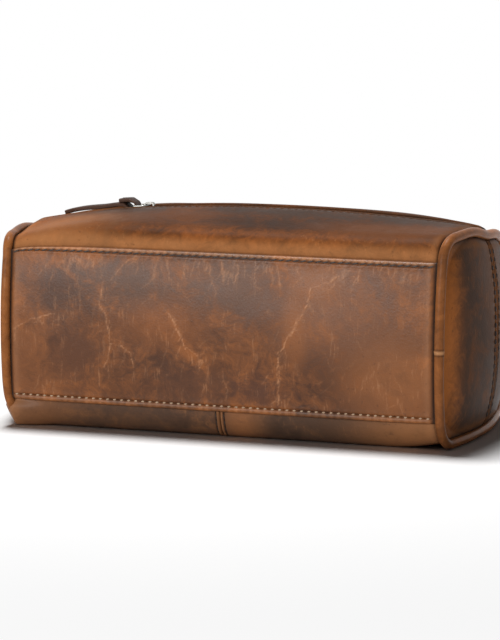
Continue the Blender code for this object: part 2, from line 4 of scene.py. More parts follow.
import bmesh
import bpy
from mathutils import Matrix, Vector, kdtree, noise


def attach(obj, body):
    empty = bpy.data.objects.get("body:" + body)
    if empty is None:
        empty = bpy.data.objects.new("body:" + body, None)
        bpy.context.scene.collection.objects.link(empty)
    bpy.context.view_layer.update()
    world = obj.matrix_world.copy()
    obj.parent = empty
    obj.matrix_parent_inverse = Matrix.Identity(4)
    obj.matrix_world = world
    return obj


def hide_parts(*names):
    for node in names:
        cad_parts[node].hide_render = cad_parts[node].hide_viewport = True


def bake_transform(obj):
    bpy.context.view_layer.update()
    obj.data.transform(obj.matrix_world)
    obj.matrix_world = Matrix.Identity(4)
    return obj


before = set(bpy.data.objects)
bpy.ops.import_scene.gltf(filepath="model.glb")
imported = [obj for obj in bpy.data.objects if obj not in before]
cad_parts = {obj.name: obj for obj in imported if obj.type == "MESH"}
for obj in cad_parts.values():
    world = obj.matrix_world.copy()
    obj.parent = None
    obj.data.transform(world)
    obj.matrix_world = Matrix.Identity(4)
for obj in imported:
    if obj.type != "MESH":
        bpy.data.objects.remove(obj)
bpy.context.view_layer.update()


# The camera stands in front of the bag, a little to its right and a little above it, with a long lens.
# The aim point is in the middle of the bag, and the small shift and roll frame it as the photograph does.
YAW = math.radians(17.94)
ELEVATION = math.radians(7.84)
ROLL = math.radians(0.48)
CAMERA_DISTANCE = 1.595
SENSOR_WIDTH = 36  # millimetres, as is the lens
LENS = 175.2
SHIFT = -0.0091
AIM = Vector((0, 0, 0.0522))
level = math.cos(ELEVATION)
away = Vector((math.sin(YAW) * level, -math.cos(YAW) * level, math.sin(ELEVATION)))
camera = bpy.data.objects.new("camera", bpy.data.cameras.new("camera"))
camera.data.sensor_width = SENSOR_WIDTH
camera.data.lens = LENS
camera.data.shift_x = SHIFT
camera.rotation_mode = "QUATERNION"
camera.location = AIM + away * CAMERA_DISTANCE
camera.rotation_quaternion = (-away).to_track_quat("-Z", "Y") @ Matrix.Rotation(ROLL, 3, "Z").to_quaternion()
bpy.context.scene.collection.objects.link(camera)
bpy.context.scene.camera = camera
bpy.context.scene.view_settings.view_transform = "Standard"


# The studio: a pale floor under a white surround, a broad low lamp from the front left, a weak one from the
# right and one overhead, a little behind the bag. The floor takes light and shadow from the overhead lamp
# alone. It is plain near the bag, where that shadow falls, and white further out.
FLOOR_SIZE = 40.0
FLOOR_GREY = 0.95
FLOOR_PLAIN_TO = 0.25
FLOOR_WHITE_FROM = 0.7
SURROUND = 0.05
WHITE = (1, 1, 1, 1)
BLACK = (0, 0, 0, 1)


class Value:
    """One output of a shader node. Sums, differences and products of values become Math nodes."""

    def __init__(self, look, socket):
        self.look = look
        self.socket = socket

    def math(self, operation, first, second):
        return self.look.node("ShaderNodeMath", {"operation": operation}, {0: first, 1: second})

    def __add__(self, other):
        return self.math("ADD", self, other)

    def __sub__(self, other):
        return self.math("SUBTRACT", self, other)

    def __mul__(self, other):
        return self.math("MULTIPLY", self, other)

    __radd__ = __add__
    __rmul__ = __mul__


class Finish:
    """A material's node tree, or the surround's, with one method that adds any node."""

    def __init__(self, name, owner=None):
        self.owner = owner or bpy.data.materials.new(name)
        self.owner.use_nodes = True
        self.tree = self.owner.node_tree
        self.shader = self.tree.nodes.get("Principled BSDF")

    def node(self, kind, settings=None, sockets=None, output=0):
        made = self.tree.nodes.new(kind)
        for key, value in (settings or {}).items():
            if key == "stops":
                ramp = made.color_ramp
                while len(ramp.elements) < len(value):
                    ramp.elements.new(0.5)
                for element, (position, colour) in zip(ramp.elements, value):
                    element.position = position
                    element.color = colour
            else:
                setattr(made, key, value)
        self.fill(made, sockets or {})
        return Value(self, made.outputs[output])

    def fill(self, made, sockets):
        for key, value in sockets.items():
            if isinstance(value, Value):
                self.tree.links.new(value.socket, made.inputs[key])
            else:
                made.inputs[key].default_value = value

    def noise(self, place, scale, detail=2, roughness=0.5, output=0):
        sockets = {"Vector": place, "Scale": scale, "Detail": detail, "Roughness": roughness}
        return self.node("ShaderNodeTexNoise", {}, sockets, output)

    def step(self, value, low, high, first=0.0, last=1.0):
        """Smooth change from first, where value is low, to last, where it is high."""
        sockets = {0: value, 1: low, 2: high, 3: first, 4: last}
        return self.node("ShaderNodeMapRange", {"interpolation_type": "SMOOTHSTEP"}, sockets)

    def mix(self, first, second, share):
        """Colour that goes from first to second as share goes from 0 to 1."""
        return self.node("ShaderNodeMix", {"data_type": "RGBA"}, {0: share, 6: first, 7: second}, 2)

    def painted(self, name):
        """A value painted on the mesh."""
        return self.node("ShaderNodeAttribute", {"attribute_name": name}, {}, 2)

    def place(self):
        """The place in the piece's own space."""
        return self.node("ShaderNodeTexCoord", {}, {}, "Object")

    def coat(self, colour, roughness, height, strength, distance):
        """Fills in the shader's colour and roughness, and a bump that follows height."""
        sockets = {"Height": height, "Strength": strength, "Distance": distance}
        normal = self.node("ShaderNodeBump", {}, sockets)
        self.fill(self.shader, {"Base Color": colour, "Roughness": roughness, "Normal": normal})

    def seen_direct(self):
        """1 for what the camera sees, also in metal, and 0 for light that falls on the bag."""
        seen = self.node("ShaderNodeLightPath", {}, {}, "Is Camera Ray")
        glossy = self.node("ShaderNodeLightPath", {}, {}, "Is Glossy Ray")
        through = self.node("ShaderNodeLightPath", {}, {}, "Is Transmission Ray")
        return seen.math("MAXIMUM", seen.math("MAXIMUM", seen, glossy), through)


def tone(red, green, blue):
    """A colour given as it looks on screen, from 0 to 255, as the renderer's own."""
    linear = []
    for part in (red, green, blue):
        share = part / 255
        linear.append(share / 12.92 if share <= 0.04045 else ((share + 0.055) / 1.055) ** 2.4)
    return (*linear, 1)


def add_lamp(name, place, aim, width, height, power):
    """A broad soft lamp that points at aim."""
    lamp = bpy.data.objects.new(name, bpy.data.lights.new(name, "AREA"))
    lamp.data.shape = "RECTANGLE"
    lamp.data.size = width
    lamp.data.size_y = height
    lamp.data.energy = power
    lamp.location = place
    lamp.rotation_mode = "QUATERNION"
    lamp.rotation_quaternion = (Vector(aim) - Vector(place)).to_track_quat("-Z", "Y")
    bpy.context.scene.collection.objects.link(lamp)
    return lamp


front_lamp = add_lamp("front_lamp", (-0.65, -1.8, 0.5), AIM, width=1.5, height=0.8, power=32)
side_lamp = add_lamp("side_lamp", (1.5, -0.9, 0.45), AIM, width=0.8, height=0.8, power=4.5)
add_lamp("top_lamp", (-0.2, 0.15, 1.5), AIM, width=0.4, height=0.4, power=27)

surround = Finish("surround", bpy.data.worlds.new("surround"))
bpy.context.scene.world = surround.owner
direct = surround.seen_direct()
strength = direct * (1 - SURROUND) + SURROUND
surround.fill(surround.tree.nodes["Background"], {"Color": WHITE, "Strength": strength})

mesh = bmesh.new()
bmesh.ops.create_grid(mesh, x_segments=1, y_segments=1, size=FLOOR_SIZE / 2)
floor = bpy.data.objects.new("floor", bpy.data.meshes.new("floor"))
mesh.to_mesh(floor.data)
mesh.free()
bpy.context.scene.collection.objects.link(floor)
pale = Finish("pale_floor")
pale.fill(pale.shader, {"Roughness": 0.9, "Specular IOR Level": 0.0, "Emission Strength": 1.0})
from_bag = pale.node("ShaderNodeVectorMath", {"operation": "LENGTH"}, {0: pale.place()}, "Value")
white = pale.step(from_bag, FLOOR_PLAIN_TO, FLOOR_WHITE_FROM)
shown = white * pale.seen_direct()
pale.fill(pale.shader, {"Base Color": pale.mix((FLOOR_GREY,) * 3 + (1,), BLACK, shown)})
pale.fill(pale.shader, {"Emission Color": pale.mix(BLACK, WHITE, shown)})
floor.data.materials.append(pale.owner)
kept_dark = bpy.data.collections.new("kept_from_the_low_lamps")
kept_dark.objects.link(floor)
for lamp in (front_lamp, side_lamp):
    lamp.light_linking.receiver_collection = kept_dark
kept_dark.collection_objects[0].light_linking.link_state = "EXCLUDE"


# The base: two pieces of brown leather wrapped round the bottom edges and joined by a butt seam across the
# middle, with each edge turned under and held by its own row of stitches. At the left front corner, which is
# pushed in, the leather swells out over the foot of the piping.
HALF_LENGTH = 0.113  # middle of the bag to the piping along the front and back edges
END_BOW = 0.0075  # how much further the piping stands out at the middle of an end
WALL_HALF = 0.0575
WALL_SWELL = 0.0022
BASE_HALF = 0.047
BASE_FLAT_X = 0.085
FOOT_TUCK = 0.005  # how far the lower front corner of the left end is pushed in
FOOT_TUCK_PLACE = 1.1
FOOT_TUCK_POWER = 4
END_LIFT = 0.0034
CORNER_HEIGHT = 0.017
WALL_TOP = 0.090
SHOULDER_HALF = 0.044
SHOULDER_HEIGHT = 0.1056
SHOULDER_ROUNDING = 2.0
SHOULDER_SLOPE_END = 0.06
SHOULDER_SLOPE_MIDDLE = 0.22
RIDGE_HEIGHT = 0.1114
RIDGE_PEAK_X = 0.012
RIDGE_RADIUS = 0.96
END_DROP = 0.0046
END_DROP_POWER = 70
RIGHT_SINK = 0.0018  # how far the front fold of the top sinks just beside the right end's piping
LEFT_WALL_SINK = 0.003  # how far the head of the front wall sinks beside the left end's piping
LEFT_WALL_SINK_POWER = 20
SLUMP = 0.0092  # how far the left end's top has sunk at its fold
SLUMP_START_X = -0.050
SLUMP_AT_RIDGE = 0.27
BACK_SLUMP = 0.0105  # how far the back of the top has sunk at both ends
BACK_SLUMP_POWER = 7
BACK_SLUMP_AT_WALL = 0.6
BACK_ROUNDING = 0.6
RIDGE_TILT = 0.09
LEATHER = 0.002
GAP = 0.0004
PIPING_RADIUS = 0.0024
PIPING_TUCK = 0.0003  # how far a panel's edge reaches in under the piping
SIDE_EDGE = HALF_LENGTH - PIPING_RADIUS + PIPING_TUCK
SIDE_DIVE = 0.0032  # width of the strip that dives down beside the piping
SIDE_SINK = 0.0004  # how far that strip goes down
BASE_LAP = 2.1
BASE_STITCH = 0.0021
STITCH_PITCH = 0.0038
BASE_CELL = 0.0011
BASE_EDGE_ROUND = 0.006  # how far past the flat of the base its seam stands out fully
BASE_SEAM_DEPTH = 0.0007
BASE_SEAM_WIDTH = 0.0007
BASE_GROOVE_WIDTH = 0.0005
BASE_HOLE_WIDTH = 0.0004
SEAM_COLUMNS = (GAP / 4, 0.0004, 0.0008, 0.0012, 0.0016, 0.0019, 0.0021, 0.0023, 0.0027, 0.0033)
FIELD_FROM = 0.0042  # from the seam to where the even columns start
EDGE_CELL = 0.0005
CORNER_SWELL = 0.0031
CORNER_SWELL_FROM = 0.09
CORNER_RISE = (0.9, 1.15)  # places on the outline between which the swell grows
CORNER_FALL = (1.72, 1.87)  # and goes back again
CORNER_ROUND = 0.0017
CORNER_ROUND_WIDTH = 0.0028
CORNER_LAP = 0.005
CORNER_LAP_FROM = 0.1
CORNER_DROP = 0.0022
CORNER_DROP_FADE = (0.004, 0.012)  # heights over which the drop fades out
STITCH_SINK = 0.0006
HOLE_SINK = 0.0005
SHARP_FROM = 50  # degrees between faces that meet in a crisp edge
BODIES = {"front": 1, "back": -1}
SIDES = {"left": -1, "right": 1}


def ridge(x):
    """Height of the zip's arc."""
    return RIDGE_HEIGHT - RIDGE_RADIUS + math.sqrt(RIDGE_RADIUS**2 - (x - RIDGE_PEAK_X) ** 2)


def end_x(y):
    """How far from the middle the piping of an end stands, at a place across the bag."""
    return HALF_LENGTH + END_BOW * (1 - min(1, (y / WALL_HALF) ** 2))


def foot_tuck(side, s):
    """How far an end is pushed in at a place on its rim: only at the left end's lower front corner."""
    if side > 0 or s < 0:
        return 0
    return FOOT_TUCK * max(0, 1 - (s - FOOT_TUCK_PLACE) ** 2) ** 2


def slump(x):
    """How far the top has sunk at a station along the bag."""
    return SLUMP * max(0, (x - SLUMP_START_X) / (-HALF_LENGTH - SLUMP_START_X)) ** 2


def hermite(start, start_run, stop, stop_run, t):
    """A point of the smooth curve that leaves start along start_run and reaches stop along stop_run."""
    return (
        start * (2 * t**3 - 3 * t**2 + 1)
        + start_run * (t**3 - 2 * t**2 + t)
        + stop * (3 * t**2 - 2 * t**3)
        + stop_run * (t**3 - t**2)
    )


def outline_point(x, place):
    """(y, z) of half the shell. The place is 0 at the base's middle, 1 at the base's edge, 2 at the foot
    of the wall, 3 at its top, 4 at the fold of the lip and 5 at the ridge. A negative place is on the back
    half, which is given as if it were turned round to the front."""
    s, back = abs(place), place < 0
    if s <= 2:
        past_flat = max(0, (abs(x) - BASE_FLAT_X) / (HALF_LENGTH - BASE_FLAT_X))
        foot = END_LIFT * min(1, past_flat) ** 2
        if s <= 1:
            return Vector((-BASE_HALF * s, foot))
        turn = (s - 1) * math.pi / 2
        across = BASE_HALF + (WALL_HALF - BASE_HALF) * math.sin(turn)
        return Vector((-across, foot + (CORNER_HEIGHT - foot) * (1 - math.cos(turn))))
    u = min(1, abs(x) / HALF_LENGTH)
    towards_end = u**BACK_SLUMP_POWER
    tilt = -RIDGE_TILT * towards_end
    wall_top, sunk, rounding = WALL_TOP, slump(x), SHOULDER_ROUNDING
    if back:
        tilt = -tilt
        wall_top -= BACK_SLUMP_AT_WALL * BACK_SLUMP * towards_end
        sunk += (BACK_SLUMP - sunk) * towards_end
        rounding -= BACK_ROUNDING * towards_end
    else:
        wall_top -= LEFT_WALL_SINK * min(1, max(0, -x / HALF_LENGTH)) ** LEFT_WALL_SINK_POWER
        sunk += RIGHT_SINK * min(1, max(0, x / HALF_LENGTH)) ** END_DROP_POWER
    if s <= 3:
        up = s - 2
        swell = WALL_SWELL * math.sin(math.pi * up)
        return Vector((-WALL_HALF - swell, CORNER_HEIGHT + (wall_top - CORNER_HEIGHT) * up))
    slope = SHOULDER_SLOPE_END + (SHOULDER_SLOPE_MIDDLE - SHOULDER_SLOPE_END) * (1 - u * u)
    shoulder = Vector((-SHOULDER_HALF, SHOULDER_HEIGHT - sunk))
    if s <= 4:
        wall_head = Vector((-WALL_HALF, wall_top))
        rise = rounding * (shoulder.y - wall_top)
        run = rounding * (WALL_HALF - SHOULDER_HALF)
        return hermite(wall_head, Vector((0, rise)), shoulder, Vector((run, run * slope)), s - 3)
    drop = END_DROP * min(1, abs(x) / (HALF_LENGTH + END_BOW)) ** END_DROP_POWER
    top = Vector((0, ridge(x) - drop - SLUMP_AT_RIDGE * slump(x)))
    run = SHOULDER_HALF
    return hermite(shoulder, Vector((run, run * slope)), top, Vector((run, run * tilt)), s - 4)


def outline_normal(x, place):
    """Outward direction (y, z) of half the shell."""
    step = 0.01
    low, high = max(0, abs(place) - step), min(5, abs(place) + step)
    if place < 0:
        low, high = -low, -high
    along = outline_point(x, high) - outline_point(x, low)
    return Vector((-along.y, along.x)).normalized()


def shell(x, s, out=0.0):
    """A point on the shell, or that far outside it. Negative s is the back.
    Stations near an end follow the bow of its piping."""
    bow = end_x(outline_point(HALF_LENGTH, s).x) - HALF_LENGTH - foot_tuck(x, s)
    station = x + math.copysign(1, x) * bow * min(1, abs(x) / HALF_LENGTH) ** 4
    flat = outline_point(station, s) + outline_normal(station, s) * out
    return Vector((station, flat.x if s >= 0 else -flat.x, flat.y))


def shell_normal(x, s):
    """Outward direction of the shell in space."""
    flat = outline_normal(x, s)
    return Vector((0, flat.x if s >= 0 else -flat.x, flat.y))


OUTLINE_STEPS = 1000
outline_lengths = [0.0]
for count in range(1, OUTLINE_STEPS + 1):
    before = outline_point(0, 5 * (count - 1) / OUTLINE_STEPS)
    after = outline_point(0, 5 * count / OUTLINE_STEPS)
    outline_lengths.append(outline_lengths[-1] + (after - before).length)


def length_at(s):
    """Distance along the outline from the base's middle to a place on it."""
    exact = s / 5 * OUTLINE_STEPS
    low = min(OUTLINE_STEPS - 1, int(exact))
    return outline_lengths[low] + (outline_lengths[low + 1] - outline_lengths[low]) * (exact - low)


def place_at(length):
    """Place on the outline at a distance along it from the base's middle."""
    low, high = 0, OUTLINE_STEPS
    while high - low > 1:
        middle = (low + high) // 2
        if outline_lengths[middle] <= length:
            low = middle
        else:
            high = middle
    share = (length - outline_lengths[low]) / (outline_lengths[high] - outline_lengths[low])
    return 5 * (low + share) / OUTLINE_STEPS


def even(first, last, step):
    """Values from first to last, about a step apart."""
    count = max(1, round(abs(last - first) / step))
    return [first + (last - first) * i / count for i in range(count + 1)]


def joined(*runs):
    """Runs of values in rising order, without repeats."""
    values = sorted(value for run in runs for value in run)
    kept = values[:1]
    for value in values[1:]:
        if value - kept[-1] > 1e-5:
            kept.append(value)
    return kept


def smooth(value, low, high):
    """0 up to low, 1 from high on, and a smooth change between them."""
    t = min(1, max(0, (value - low) / (high - low)))
    return t * t * (3 - 2 * t)


def hill(distance, width):
    """1 at distance 0, falling away over about a width."""
    return math.exp(-((distance / width) ** 2))


def ripple(x, y, z, size):
    """A slow, even wander between about -1 and 1 with hills about that size apart."""
    return noise.noise(Vector((x, y, z)) / size)


def finish_mesh(name, mesh, material, body=None):
    """Turns a bmesh into a smooth piece of the bag that faces outwards, and lets it ride on a body."""
    if mesh.calc_volume(signed=True) < 0:
        bmesh.ops.reverse_faces(mesh, faces=mesh.faces)
    for face in mesh.faces:
        face.smooth = True
    data = bpy.data.meshes.new(name)
    mesh.to_mesh(data)
    mesh.free()
    data.set_sharp_from_angle(angle=math.radians(SHARP_FROM))
    data.materials.append(material)
    made = bpy.data.objects.new(name, data)
    bpy.context.scene.collection.objects.link(made)
    if body:
        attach(made, body)
    return made


def cut_sheet(name, columns, rows, outer, inner, material, paint=None, body=None):
    """A closed sheet of leather or cloth: a flat grid with a thickness, laid on an outer and an inner
    surface. paint(column, row) gives the values to paint on it by name."""
    mesh = bmesh.new()
    last_column, last_row = len(columns) - 1, len(rows) - 1
    bmesh.ops.create_grid(mesh, x_segments=last_column, y_segments=last_row, size=1)
    bmesh.ops.solidify(mesh, geom=mesh.faces[:], thickness=1)
    layers = {}
    for key in paint(columns[0], rows[0]) if paint else ():
        layers[key] = mesh.verts.layers.float.new(key)
    for corner in mesh.verts:
        column = columns[round((corner.co.x + 1) / 2 * last_column)]
        row = rows[round((corner.co.y + 1) / 2 * last_row)]
        corner.co = inner(column, row) if abs(corner.co.z) > 0.5 else outer(column, row)
        if paint:
            for key, value in paint(column, row).items():
                corner[layers[key]] = value
    return finish_mesh(name, mesh, material, body)


def sew(name, holes, material, body=None, lean=0.12, thread=0.00034, seen=0.92):
    """A row of stitches. Each hole is (point, outward direction), and a stitch lies between two holes, with
    that share of it seen above the leather."""
    mesh = bmesh.new()
    for (start, out), (stop, _) in zip(holes, holes[1:]):
        along = (stop - start).normalized()
        side = out.cross(along).normalized()
        along = (along + side * lean).normalized()
        side = out.cross(along).normalized()
        half = (stop - start).length * seen / 2
        turn = Matrix((side * thread, out * thread, along * half)).transposed().to_4x4()
        turn.translation = (start + stop) / 2
        bmesh.ops.create_uvsphere(mesh, u_segments=6, v_segments=6, radius=1, matrix=turn)
    return finish_mesh(name, mesh, material, body)


def leather(name, tones, seed, patches=(), veined=False, gloss=0.42, shine=0.2, hairs=0.25):
    """Waxed brown leather that pulls up lighter where it bends: clouds and mottling between three tones, soft
    patches at given places, a fine pebble grain, edges and folds lightened to a fourth tone, partly rubbed
    pale and partly a painted highlight, and painted shade in seams and grooves."""
    deep, brown, warm, pale_and_highlight_tone = tones
    look = Finish(name)
    place = look.place()
    sockets = {"Vector": place, "Location": (seed, 1.7 * seed, 0.6 * seed)}
    shifted = look.node("ShaderNodeMapping", {}, sockets)
    drift = look.noise(shifted, 30, 3, 0.6, output=1)
    sockets = {0: drift, 1: (0.03, 0.03, 0.03), 2: shifted}
    warped = look.node("ShaderNodeVectorMath", {"operation": "MULTIPLY_ADD"}, sockets)
    cloud = look.noise(warped, 22, 3, 0.55)
    mottle = look.noise(warped, 85, 6, 0.66)
    fleck = look.noise(warped, 260, 5, 0.7)
    grain = look.noise(shifted, 640, 3, 0.6)
    pores = look.node("ShaderNodeTexVoronoi", {}, {"Vector": shifted, "Scale": 1100})
    amount = cloud * 0.4 + mottle * 0.38 + fleck * 0.22
    stops = [(0.39, tone(*deep)), (0.5, tone(*brown)), (0.61, tone(*warm))]
    colour = look.node("ShaderNodeValToRGB", {"stops": stops}, {"Fac": amount})
    for centre, radii, shade, strength in patches:
        middle = [-c / r for c, r in zip(centre, radii)]
        scale = [1 / r for r in radii]
        sockets = {"Vector": place, "Location": middle, "Scale": scale}
        local = look.node("ShaderNodeMapping", {}, sockets)
        away_from = look.node("ShaderNodeVectorMath", {"operation": "LENGTH"}, {0: local}, "Value")
        ragged = away_from + (mottle - 0.5) * 1.4 + (cloud - 0.5) * 0.8 + (fleck - 0.5) * 0.9
        share = look.step(ragged, 0.15, 1.15, strength, 0.0)
        colour = look.mix(colour, tone(*shade), share * (0.6 + mottle * 0.8))
    sockets = {0: drift, 1: (0.006, 0.006, 0.006), 2: shifted}
    combed = look.node("ShaderNodeVectorMath", {"operation": "MULTIPLY_ADD"}, sockets)
    brushed = look.node("ShaderNodeMapping", {}, {"Vector": combed, "Scale": (1, 1, 0.1)})
    streak = look.step(look.noise(brushed, 820, 3, 0.6), 0.56, 0.72) * look.step(mottle, 0.42, 0.62)
    colour = look.mix(colour, tone(*pale_and_highlight_tone), streak * hairs)
    height = grain * 0.55 + pores * 0.3 - streak * 0.15
    if veined:
        near = look.painted("vein")
        strong = look.painted("vein_strength")
        broken = look.step(fleck, 0.36, 0.6)
        line = look.step(near, 0.05, 0.62, 1.0, 0.0) * strong * (0.25 + broken * 0.75)
        halo = look.step(near, 0.2, 4.0, 1.0, 0.0) * strong * strong
        colour = look.mix(colour, tone(*warm), halo * (0.1 + fleck * 0.8))
        colour = look.mix(colour, tone(*pale_and_highlight_tone), line * (0.15 + mottle * 0.75))
        height = height + line * 0.4
    # The painted rub value lightens rubbed edges, and it also paints highlights on lit folds, on hems and on
    # the puffs between stitches.
    rub = look.painted("rub")
    groove = look.painted("groove")
    colour = look.mix(colour, tone(*pale_and_highlight_tone), rub * (0.2 + mottle * 0.9))
    colour = look.mix(colour, tone(*deep), look.painted("deepen") * (0.5 + mottle * 0.6))
    speck = look.step(look.noise(shifted, 380, 2), 0.64, 0.76)
    colour = look.mix(colour, tone(*deep), speck * 0.35)
    # Painted shade: the painted groove value darkens seams, stitch rows, the edges of folds and the gaps
    # beside the piping almost to black.
    colour = look.mix(colour, tone(24, 14, 9), groove)
    roughness = gloss + (mottle - 0.5) * 0.3 + groove * 0.3 + rub * 0.2
    look.coat(colour, roughness, height, 0.2, 0.0006)
    look.fill(look.shader, {"Specular IOR Level": shine})
    return look.owner


def thread_finish(name, colour):
    """Waxed thread: short twists of two tones with a soft sheen."""
    look = Finish(name)
    place = look.place()
    sockets = {"Vector": place, "Scale": 900.0, "Distortion": 0.6}
    twist = look.node("ShaderNodeTexWave", {"bands_direction": "DIAGONAL"}, sockets, "Fac")
    fuzz = look.noise(place, 700, 3)
    dark = tone(*[round(part * 0.62) for part in colour])
    shade = look.mix(dark, tone(*colour), twist * 0.6 + fuzz * 0.4)
    look.coat(shade, 0.55 + fuzz * 0.25, twist, 0.4, 0.0001)
    return look.owner


base_leather = leather(
    "base_leather",
    [(60, 43, 34), (88, 62, 46), (113, 76, 50), (150, 103, 67)],
    3.1,
    patches=[
        ((-0.108, -0.05, 0.01), (0.040, 0.06, 0.04), (118, 79, 52), 0.8),
        ((0.106, -0.05, 0.01), (0.050, 0.06, 0.04), (134, 90, 57), 0.85),
        ((0.012, -0.055, 0.01), (0.014, 0.03, 0.03), (134, 87, 54), 0.7),
        ((0.045, -0.05, 0.01), (0.040, 0.05, 0.03), (63, 49, 40), 0.6),
        ((-0.045, -0.05, 0.01), (0.050, 0.05, 0.03), (66, 51, 42), 0.6),
    ],
    shine=0.12,
)
brown_thread = thread_finish("brown_thread", (48, 33, 25))
# A paler, lit copy of the brown thread for the lower rows of the panels: a painted highlight where they catch
# the light from above.
lit_thread = thread_finish("lit_thread", (190, 160, 130))
base_rows = even(-length_at(BASE_LAP), length_at(BASE_LAP), BASE_CELL)


def base_place(row):
    """Place on the outline at a distance from the base's middle, which is negative towards the back."""
    return math.copysign(place_at(abs(row)), row)


def laid(sign, place, *heights):
    """Surfaces over the front or the back half of the shell, one for each height, which is a number or a
    function of the column and the row. A row is turned into a place on the outline by place."""
    def at(height):
        if callable(height):
            return lambda x, row: shell(x, sign * place(row), height(x, row))
        return lambda x, row: shell(x, sign * place(row), height)

    return [at(height) for height in heights]


def holes_at(spots):
    """The holes of a row of stitches at (station, place, height) on the shell."""
    return [(shell(x, s, out), shell_normal(x, s)) for x, s, out in spots]


def side_dive(x, edge=SIDE_EDGE):
    """1 in the middle of a panel, falling to 0 at the edge that goes in beside the piping."""
    return smooth(edge - abs(x), 0, SIDE_DIVE)


def off_flat(row):
    """0 on the flat of the base and 1 past its edges, where the base turns up."""
    return smooth(abs(row), BASE_HALF, BASE_HALF + BASE_EDGE_ROUND)


def base_out(x, row):
    """Height of the base's outer face over the shell: the seam, its stitches and a soft wander."""
    seam = -BASE_SEAM_DEPTH * hill(x, BASE_SEAM_WIDTH)
    beside = abs(abs(x) - BASE_STITCH)
    phase = math.cos(math.pi * row / STITCH_PITCH) ** 8
    groove = STITCH_SINK * 0.6 * hill(beside, BASE_GROOVE_WIDTH)
    stitched = -groove - HOLE_SINK * phase * hill(beside, BASE_HOLE_WIDTH)
    puff = 0.0004 * hill(abs(x) - 0.0011, 0.0007)
    wander = 0.00025 * ripple(x, row, 4.0, 0.03) * smooth(abs(x), 0.004, 0.02)
    return (seam + stitched + puff + wander) * off_flat(row) - SIDE_SINK * (1 - side_dive(x))


def corner_swell(x, row):
    """1 where the left front corner of the base swells out over the piping, and 0 away from it."""
    s = base_place(row)
    along = smooth(-x, CORNER_SWELL_FROM, SIDE_EDGE)
    return along * smooth(s, *CORNER_RISE) * (1 - smooth(s, *CORNER_FALL))


def base_point(x, row):
    """A point of the base's outer face, which stays over the floor where the corner swells."""
    swell = corner_swell(x, row)
    out = CORNER_SWELL - CORNER_ROUND * (1 - smooth(SIDE_EDGE + x, 0, CORNER_ROUND_WIDTH))
    point = shell(x, base_place(row), base_out(x, row) + out * swell)
    point.x -= CORNER_LAP * swell * smooth(-x, CORNER_LAP_FROM, SIDE_EDGE)
    point.z -= CORNER_DROP * swell * side_dive(x) * (1 - smooth(point.z, *CORNER_DROP_FADE))
    if swell > 0:
        point.z = max(point.z, GAP / 2)
    return point


def base_paint(x, row):
    beside = abs(abs(x) - BASE_STITCH)
    # Painted shade in the seam's groove, along its stitch rows and along the edges that go in beside the
    # piping.
    seam = max(0.4 * hill(x, 0.0004), 0.85 * hill(beside, 0.0004))
    edge_shade = 0.85 * (1 - smooth(SIDE_EDGE - abs(x), 0, 0.0018)) * (1 - corner_swell(x, row))
    return {
        "groove": max(seam, edge_shade),
        "rub": max(0.8 * (1 - smooth(abs(x), 0.0012, 0.0022)), 0.6 * hill(SIDE_EDGE - abs(x) - 0.003, 0.002)),
    }


for side_name, side in SIDES.items():
    near_seam = [side * x for x in SEAM_COLUMNS]
    field = even(side * FIELD_FROM, side * (SIDE_EDGE - SIDE_DIVE), BASE_CELL)
    edge = even(side * (SIDE_EDGE - SIDE_DIVE), side * SIDE_EDGE, EDGE_CELL)
    base = cut_sheet(
        f"base_{side_name}_wrap",
        joined(near_seam, field, edge),
        base_rows,
        base_point,
        *laid(1, base_place, -LEATHER),
        base_leather,
        base_paint,
        "bag",
    )
    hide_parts(f"base_{side_name}")
    reach = length_at(BASE_LAP) - 0.004
    spots = []
    for row in even(-reach, reach, STITCH_PITCH):
        spots.append((side * BASE_STITCH, base_place(row), -(0.0004 - 0.0003 * off_flat(row))))
    holes = holes_at(spots)
    stitches = sew(f"base_{side_name}_stitches", holes, brown_thread, "bag", lean=0.05, thread=0.0003)


# The front and back panels: one piece of leather each, lapped over the base and the top strips. Their long
# edges are turned under and sewn down by a row of stitches, and their short edges go in beside the piping.
FRONT_FOOT_FOLD = 1.875
FRONT_HEAD_FOLD = 3.105
FOOT_STITCH = 2.0
HEAD_STITCH = 3.03
PANEL_OUT = GAP + LEATHER
FOLD_ROUND = 0.0015
HEM_BULGE = 0.0002
PANEL_STITCH_SINK = 0.00025
GROOVE_WIDTH = 0.0006
HOLE_WIDTH = 0.0005
PANEL_SIDE_OUT = 0.0013  # height of a panel's short edge beside the piping
STITCH_ROW_END = 0.1094
STITCHES = 58
CELLS_PER_STITCH = 5
PANEL_ROW = 0.00095
foot_fold = length_at(FRONT_FOOT_FOLD)
head_fold = length_at(FRONT_HEAD_FOLD)
foot_stitch = length_at(FOOT_STITCH) - foot_fold
head_stitch = head_fold - length_at(HEAD_STITCH)
pitch = 2 * STITCH_ROW_END / STITCHES


def fold_nose(distance):
    """Rounding of a turned edge: 0 at the fold and 1 past its rounding."""
    left = 1 - min(1, max(0, distance) / FOLD_ROUND)
    return math.sqrt(1 - left * left)


def stitch_phase(x):
    """1 at the holes of a panel's stitches and 0 half way between them."""
    return math.cos(math.pi * (x + STITCH_ROW_END) / pitch) ** 2


